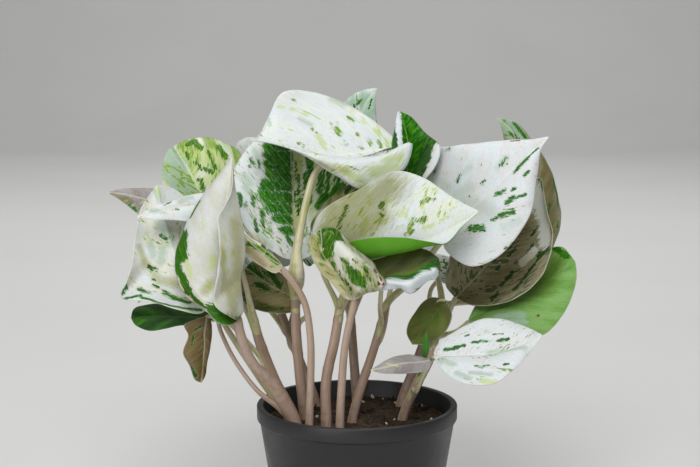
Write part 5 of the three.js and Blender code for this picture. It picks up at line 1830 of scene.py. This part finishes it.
def add_leaf(name, leaf, look, settings, seed):
    """Builds one leaf: its blade with veins in relief, and the stalk that runs on as the midrib."""
    look = {**PLAIN_LOOK, **look}
    blade, points, normals = add_blade(name, leaf, settings, seed)
    blade.data.materials.append(leaf_finish(f"{name}_skin", look, settings))
    raised = triples(blade.data.vertices, "co") / MM
    apply_modifier(blade, "SOLIDIFY", thickness=settings.thickness, offset=0, use_even_offset=False)
    mark_underside(blade, raised, normals)
    stalk = add_stalk(name, leaf["stalk"], points, normals, seed)
    stalk.data.materials.append(stalk_skin(look["stalk"], settings))
    join(blade, stalk)
    settle(blade, "leaf_blade", f"leaf_{name}")


def add_blade(name, leaf, settings, seed):
    """A leaf's blade as a single sheet, with its points before the relief and their normals."""
    rib = Line(leaf["rib"])
    columns, rows = FINE_BLADE if rib.length > FINE_LENGTH else PLAIN_BLADE
    blade, across, along = grid_sheet(f"{name}_leaf", columns, rows)
    across = 2 * across - 1
    along = FIRST_ROW + (LAST_ROW - FIRST_ROW) * (EVEN_ROWS * along + (1 - EVEN_ROWS) * smooth(along, 0, 1))
    points = blade_points(leaf, along, across)
    spacing = np.linalg.norm(points[rows // 2, 0] - points[rows // 2, -1]) / columns
    for _ in range(int(SMOOTH_PASSES * (SMOOTH_REACH / max(spacing, LEAST_SPACING)) ** 2)):
        points[:, 1:-1] = (points[:, :-2] + 2 * points[:, 1:-1] + points[:, 2:]) / 4
    normals = grid_normals(points)

    # Distances from the rib and to the margin, and places along the side veins, in millimetres
    steps = np.linalg.norm(np.diff(points, axis=1), axis=-1)
    reached = np.concatenate([np.zeros((rows + 1, 1)), np.cumsum(steps, axis=1)], axis=1)
    span = np.abs(reached - reached[:, columns // 2, None])
    inwards = np.where(across < 0, span[:, :1], span[:, -1:]) - span
    vein = along * rib.length - VEIN_SLANT * span - VEIN_CURL * span**2

    inside = smooth(span, *RIB_FADE) * smooth(inwards, *MARGIN_FADE)
    off_vein = np.abs((vein + VEIN_SPACING / 2) % VEIN_SPACING - VEIN_SPACING / 2)
    sunk = VEIN_DEPTH * np.exp(-((off_vein / VEIN_WIDTH) ** 2))
    relief = inside * (PILLOW * np.cos(2 * np.pi * vein / VEIN_SPACING) - sunk)
    relief -= settings.groove / MM * np.exp(-((span / GROOVE_WIDTH) ** 2)) * np.sqrt(1 - along)
    waves = np.sin(2 * np.pi * (along * rib.length / LONG_RIPPLE + seed * RIPPLE_TURN))
    waves += 0.5 * np.sin(2 * np.pi * along * rib.length / SHORT_RIPPLE)
    relief += settings.ripple / MM * 0.5 * waves * across**RIPPLE_POWER * np.sin(np.pi * along)
    shape(blade, points + normals * relief[..., None])

    strokes = placed_strokes(leaf, MARKS[name]) if name in MARKS else {}
    fields = {kind: stroke_field(leaf, points, strokes.get(kind, [])) for kind in MARK_EDGES}
    keep(blade, "vein", vein, span, LEAF_PATTERN * seed + HALF_PATTERN * (across > 0))
    keep(blade, "marks", fields["green"], fields["lime"], fields["grey"])
    keep(blade, "stains", fields["deep"], fields["olive_and_painted_shade"], fields["rust"])
    keep(blade, "rim", fields["white"], inwards, np.zeros_like(span))
    return blade, points, normals


def mark_underside(blade, middle, normals):
    """Marks the points of a blade's lower face, for its material."""
    points = triples(blade.data.vertices, "co") / MM
    if len(points) != 2 * len(middle):
        raise RuntimeError(f"{blade.name} should have {2 * len(middle)} points and has {len(points)}")
    facing = normals.reshape(-1, 3)
    below = ((points - np.tile(middle, (2, 1))) * np.tile(facing, (2, 1))).sum(axis=1) < 0
    rim = blade.data.attributes["rim"].data
    values = triples(rim, "vector")
    values[:, 2] = below
    rim.foreach_set("vector", values.ravel())


def add_stalk(name, stalk, points, normals, seed):
    """A leaf's stalk, which clasps its stem and runs on below the blade as the midrib."""
    rows, middle = points.shape[0] - 1, points.shape[1] // 2
    spine = []
    for share, size in SPINE:
        row = int(share * rows)
        spine.append(points[row, middle] - normals[row, middle] * (stalk.radius * size + SPINE_DEPTH))
    line = stalk_line(stalk, spine)
    base = 1 - Line(spine).length / line.length
    flare = SHEATH_FLARE
    if grows_on(stalk):
        stem_width = STEMS[stalk.stem].radius * taper_at(STEM_TAPER, stalk.at - TOP_OVERLAP)
        flare = TOP_FIT * stem_width / stalk.radius
    clasp = [(share, of_flare * flare + of_stalk) for share, of_flare, of_stalk in CLASP]
    profile = [
        (0, 0),
        *((share * base, size) for share, size in (*(stalk.sheath or clasp), *STALK_TOP)),
        *((base + share * (1 - base), size) for share, size in SPINE_TAPER),
    ]

    def radii(share):
        """The stalk's radius, from its clasping foot to the end of the midrib."""
        return stalk.radius * taper_at(profile, share)

    piece = tube(f"{name}_stalk", line, radii, STALK_SIDES, STALK_STEPS)
    mark_place(piece, line, seed)
    return piece


class POTHOS_OT_leaves(bpy.types.Operator):
    """Adds the leaves that the photograph shows"""

    bl_idname = "pothos.leaves"
    bl_label = "Leaves"

    def execute(self, context):
        settings = context.scene.pothos_leaves
        for seed, (name, leaf) in enumerate(LEAVES.items(), 1):
            add_leaf(name, leaf, LOOKS[name], settings, seed)
        return {"FINISHED"}


class POTHOS_OT_far_leaves(bpy.types.Operator):
    """Adds the leaves of the far side"""

    bl_idname = "pothos.far_leaves"
    bl_label = "Far leaves"

    def execute(self, context):
        settings = context.scene.pothos_leaves
        for seed, (name, values) in enumerate(FAR_LEAVES.items(), FIRST_FAR_SEED):
            add_leaf(name, far_leaf(*values), FAR_LOOKS[seed % len(FAR_LOOKS)], settings, seed)
        return {"FINISHED"}


class POTHOS_OT_shoot(bpy.types.Operator):
    """Adds the rolled young leaf"""

    bl_idname = "pothos.shoot"
    bl_label = "Young leaf"

    def execute(self, context):
        settings = context.scene.pothos_leaves
        foot, tip = np.array(SHOOT_STALK.via[-1], float), np.array(SHOOT_TIP, float)
        line = stalk_line(SHOOT_STALK, [tip])
        start = 1 - np.linalg.norm(tip - foot) / line.length
        profile = [
            (0, 0),
            SHOOT_EDGE,
            *((share * start, size) for share, size in SHOOT_FOOT),
            *((start + share * (1 - start), size) for share, size in SHOOT_SHAPE),
        ]

        def radii(share):
            """The radius of the stalk and of the roll above it."""
            return taper_at(profile, share)

        def overlap(share, angle):
            """The step where the roll's outer margin lies over the inner one."""
            opened = smooth(share, start, start + SHOOT_OPENING)
            return 1 - SHOOT_STEP * opened * ((angle / (2 * np.pi) + SHOOT_TURNS * share) % 1)

        roll = tube("young_leaf", line, radii, *SHOOT_GRID, overlap)
        mark_place(roll, line, SHOOT_SEED)
        colours = settings.deep_green, settings.green, settings.scar
        skin = skin_finish("young_skin", *colours, SHOOT_SCARS, roughness=0.4)
        roll.data.materials.append(skin)
        settle(roll, "young_leaf", "shoot")
        return {"FINISHED"}


class POTHOS_OT_studio(bpy.types.Operator):
    """Adds the floor, the lights and the camera"""

    bl_idname = "pothos.studio"
    bl_label = "Studio"

    def execute(self, context):
        settings = context.scene.pothos_studio
        self.add_floor(context, settings)
        for name, (place, target, size, strength) in LIGHTS.items():
            self.add_light(context, name, place, target, size, getattr(settings, strength))
        self.add_air(context, settings.air)
        self.add_camera(context)
        return {"FINISHED"}

    @staticmethod
    def add_floor(context, settings):
        """A floor that bends up into a wall behind the plant."""
        deselect()
        bpy.ops.mesh.primitive_plane_add(size=FLOOR_SIZE, location=(0, FLOOR_MIDDLE, 0))
        floor = context.object
        floor.name = "studio_floor"
        bpy.ops.object.transform_apply(location=True)

        def at_back(edge):
            """Whether an edge of the floor is its far one."""
            return all(floor.data.vertices[end].co.y > FLOOR_BACK for end in edge.vertices)

        pick(floor, "edges", at_back)
        extrude(STUDIO_WALL)
        bpy.ops.object.mode_set(mode="OBJECT")
        apply_modifier(floor, "BEVEL", width=STUDIO_BEND, segments=BEND_STEPS, limit_method="ANGLE")
        bpy.ops.object.shade_smooth()
        floor.data.materials.append(paper_finish(settings.floor))

    @staticmethod
    def add_light(context, name, place, target, size, strength):
        """A square soft light that faces its target."""
        deselect()
        bpy.ops.object.light_add(type="AREA", location=place)
        light = context.object
        light.name = name
        light.data.energy = strength
        light.data.size = size
        aim = np.array(target) - np.array(place)
        tilt = math.acos(-aim[2] / np.linalg.norm(aim))
        light.rotation_euler = (tilt, 0, math.atan2(aim[1], aim[0]) - math.pi / 2)

    @staticmethod
    def add_air(context, strength):
        """Even light from all round."""
        world = bpy.data.worlds.new("studio_air")
        world.use_nodes = True
        sky = world.node_tree.nodes["Background"]
        sky.inputs["Color"].default_value = (1, 1, 1, 1)
        sky.inputs["Strength"].default_value = strength
        context.scene.world = world
        context.scene.view_settings.view_transform = "Standard"

    @staticmethod
    def add_camera(context):
        """The camera of the photograph, placed to a tenth of a millimetre."""
        deselect()
        place = [round(part, 1) * MM for part in EYE]
        bpy.ops.object.camera_add(location=place, rotation=(math.radians(90 - CAMERA_PITCH), 0, 0))
        camera = context.object
        camera.name = "photo_camera"
        camera.data.lens = round(PHOTO_FOCUS * SENSOR_WIDTH / PHOTO_SIZE[0], 2)
        camera.data.sensor_width = SENSOR_WIDTH
        camera.data.clip_start, camera.data.clip_end = CAMERA_REACH
        context.scene.camera = camera


class POTHOS_PT_panel(bpy.types.Panel):
    bl_label = "Potted pothos"
    bl_idname = "POTHOS_PT_panel"
    bl_space_type = "VIEW_3D"
    bl_region_type = "UI"
    bl_category = "Pothos"

    def draw(self, context):
        for piece in PIECES:
            self.layout.operator(piece.bl_idname)
        for group in SETTINGS:
            box = self.layout.box()
            settings = getattr(context.scene, group)
            for key in settings.__annotations__:
                box.prop(settings, key)


PIECES = (
    POTHOS_OT_pot,
    POTHOS_OT_soil,
    POTHOS_OT_stems,
    POTHOS_OT_leaves,
    POTHOS_OT_far_leaves,
    POTHOS_OT_shoot,
    POTHOS_OT_studio,
)
SETTINGS = {
    "pothos_pot": PotSettings,
    "pothos_soil": SoilSettings,
    "pothos_leaves": LeafSettings,
    "pothos_stems": StemSettings,
    "pothos_studio": StudioSettings,
}


def register():
    for part in (*SETTINGS.values(), *PIECES, POTHOS_PT_panel):
        bpy.utils.register_class(part)
    for name, group in SETTINGS.items():
        setattr(bpy.types.Scene, name, PointerProperty(type=group))


def unregister():
    for name in SETTINGS:
        delattr(bpy.types.Scene, name)
    for part in (POTHOS_PT_panel, *reversed(PIECES), *SETTINGS.values()):
        bpy.utils.unregister_class(part)


def main():
    """Builds the plant and its studio."""
    register()
    bpy.ops.pothos.pot()
    bpy.ops.pothos.soil()
    bpy.ops.pothos.stems()
    bpy.ops.pothos.leaves()
    bpy.ops.pothos.far_leaves()
    bpy.ops.pothos.shoot()
    bpy.ops.pothos.studio()


if __name__ == "__main__":
    main()
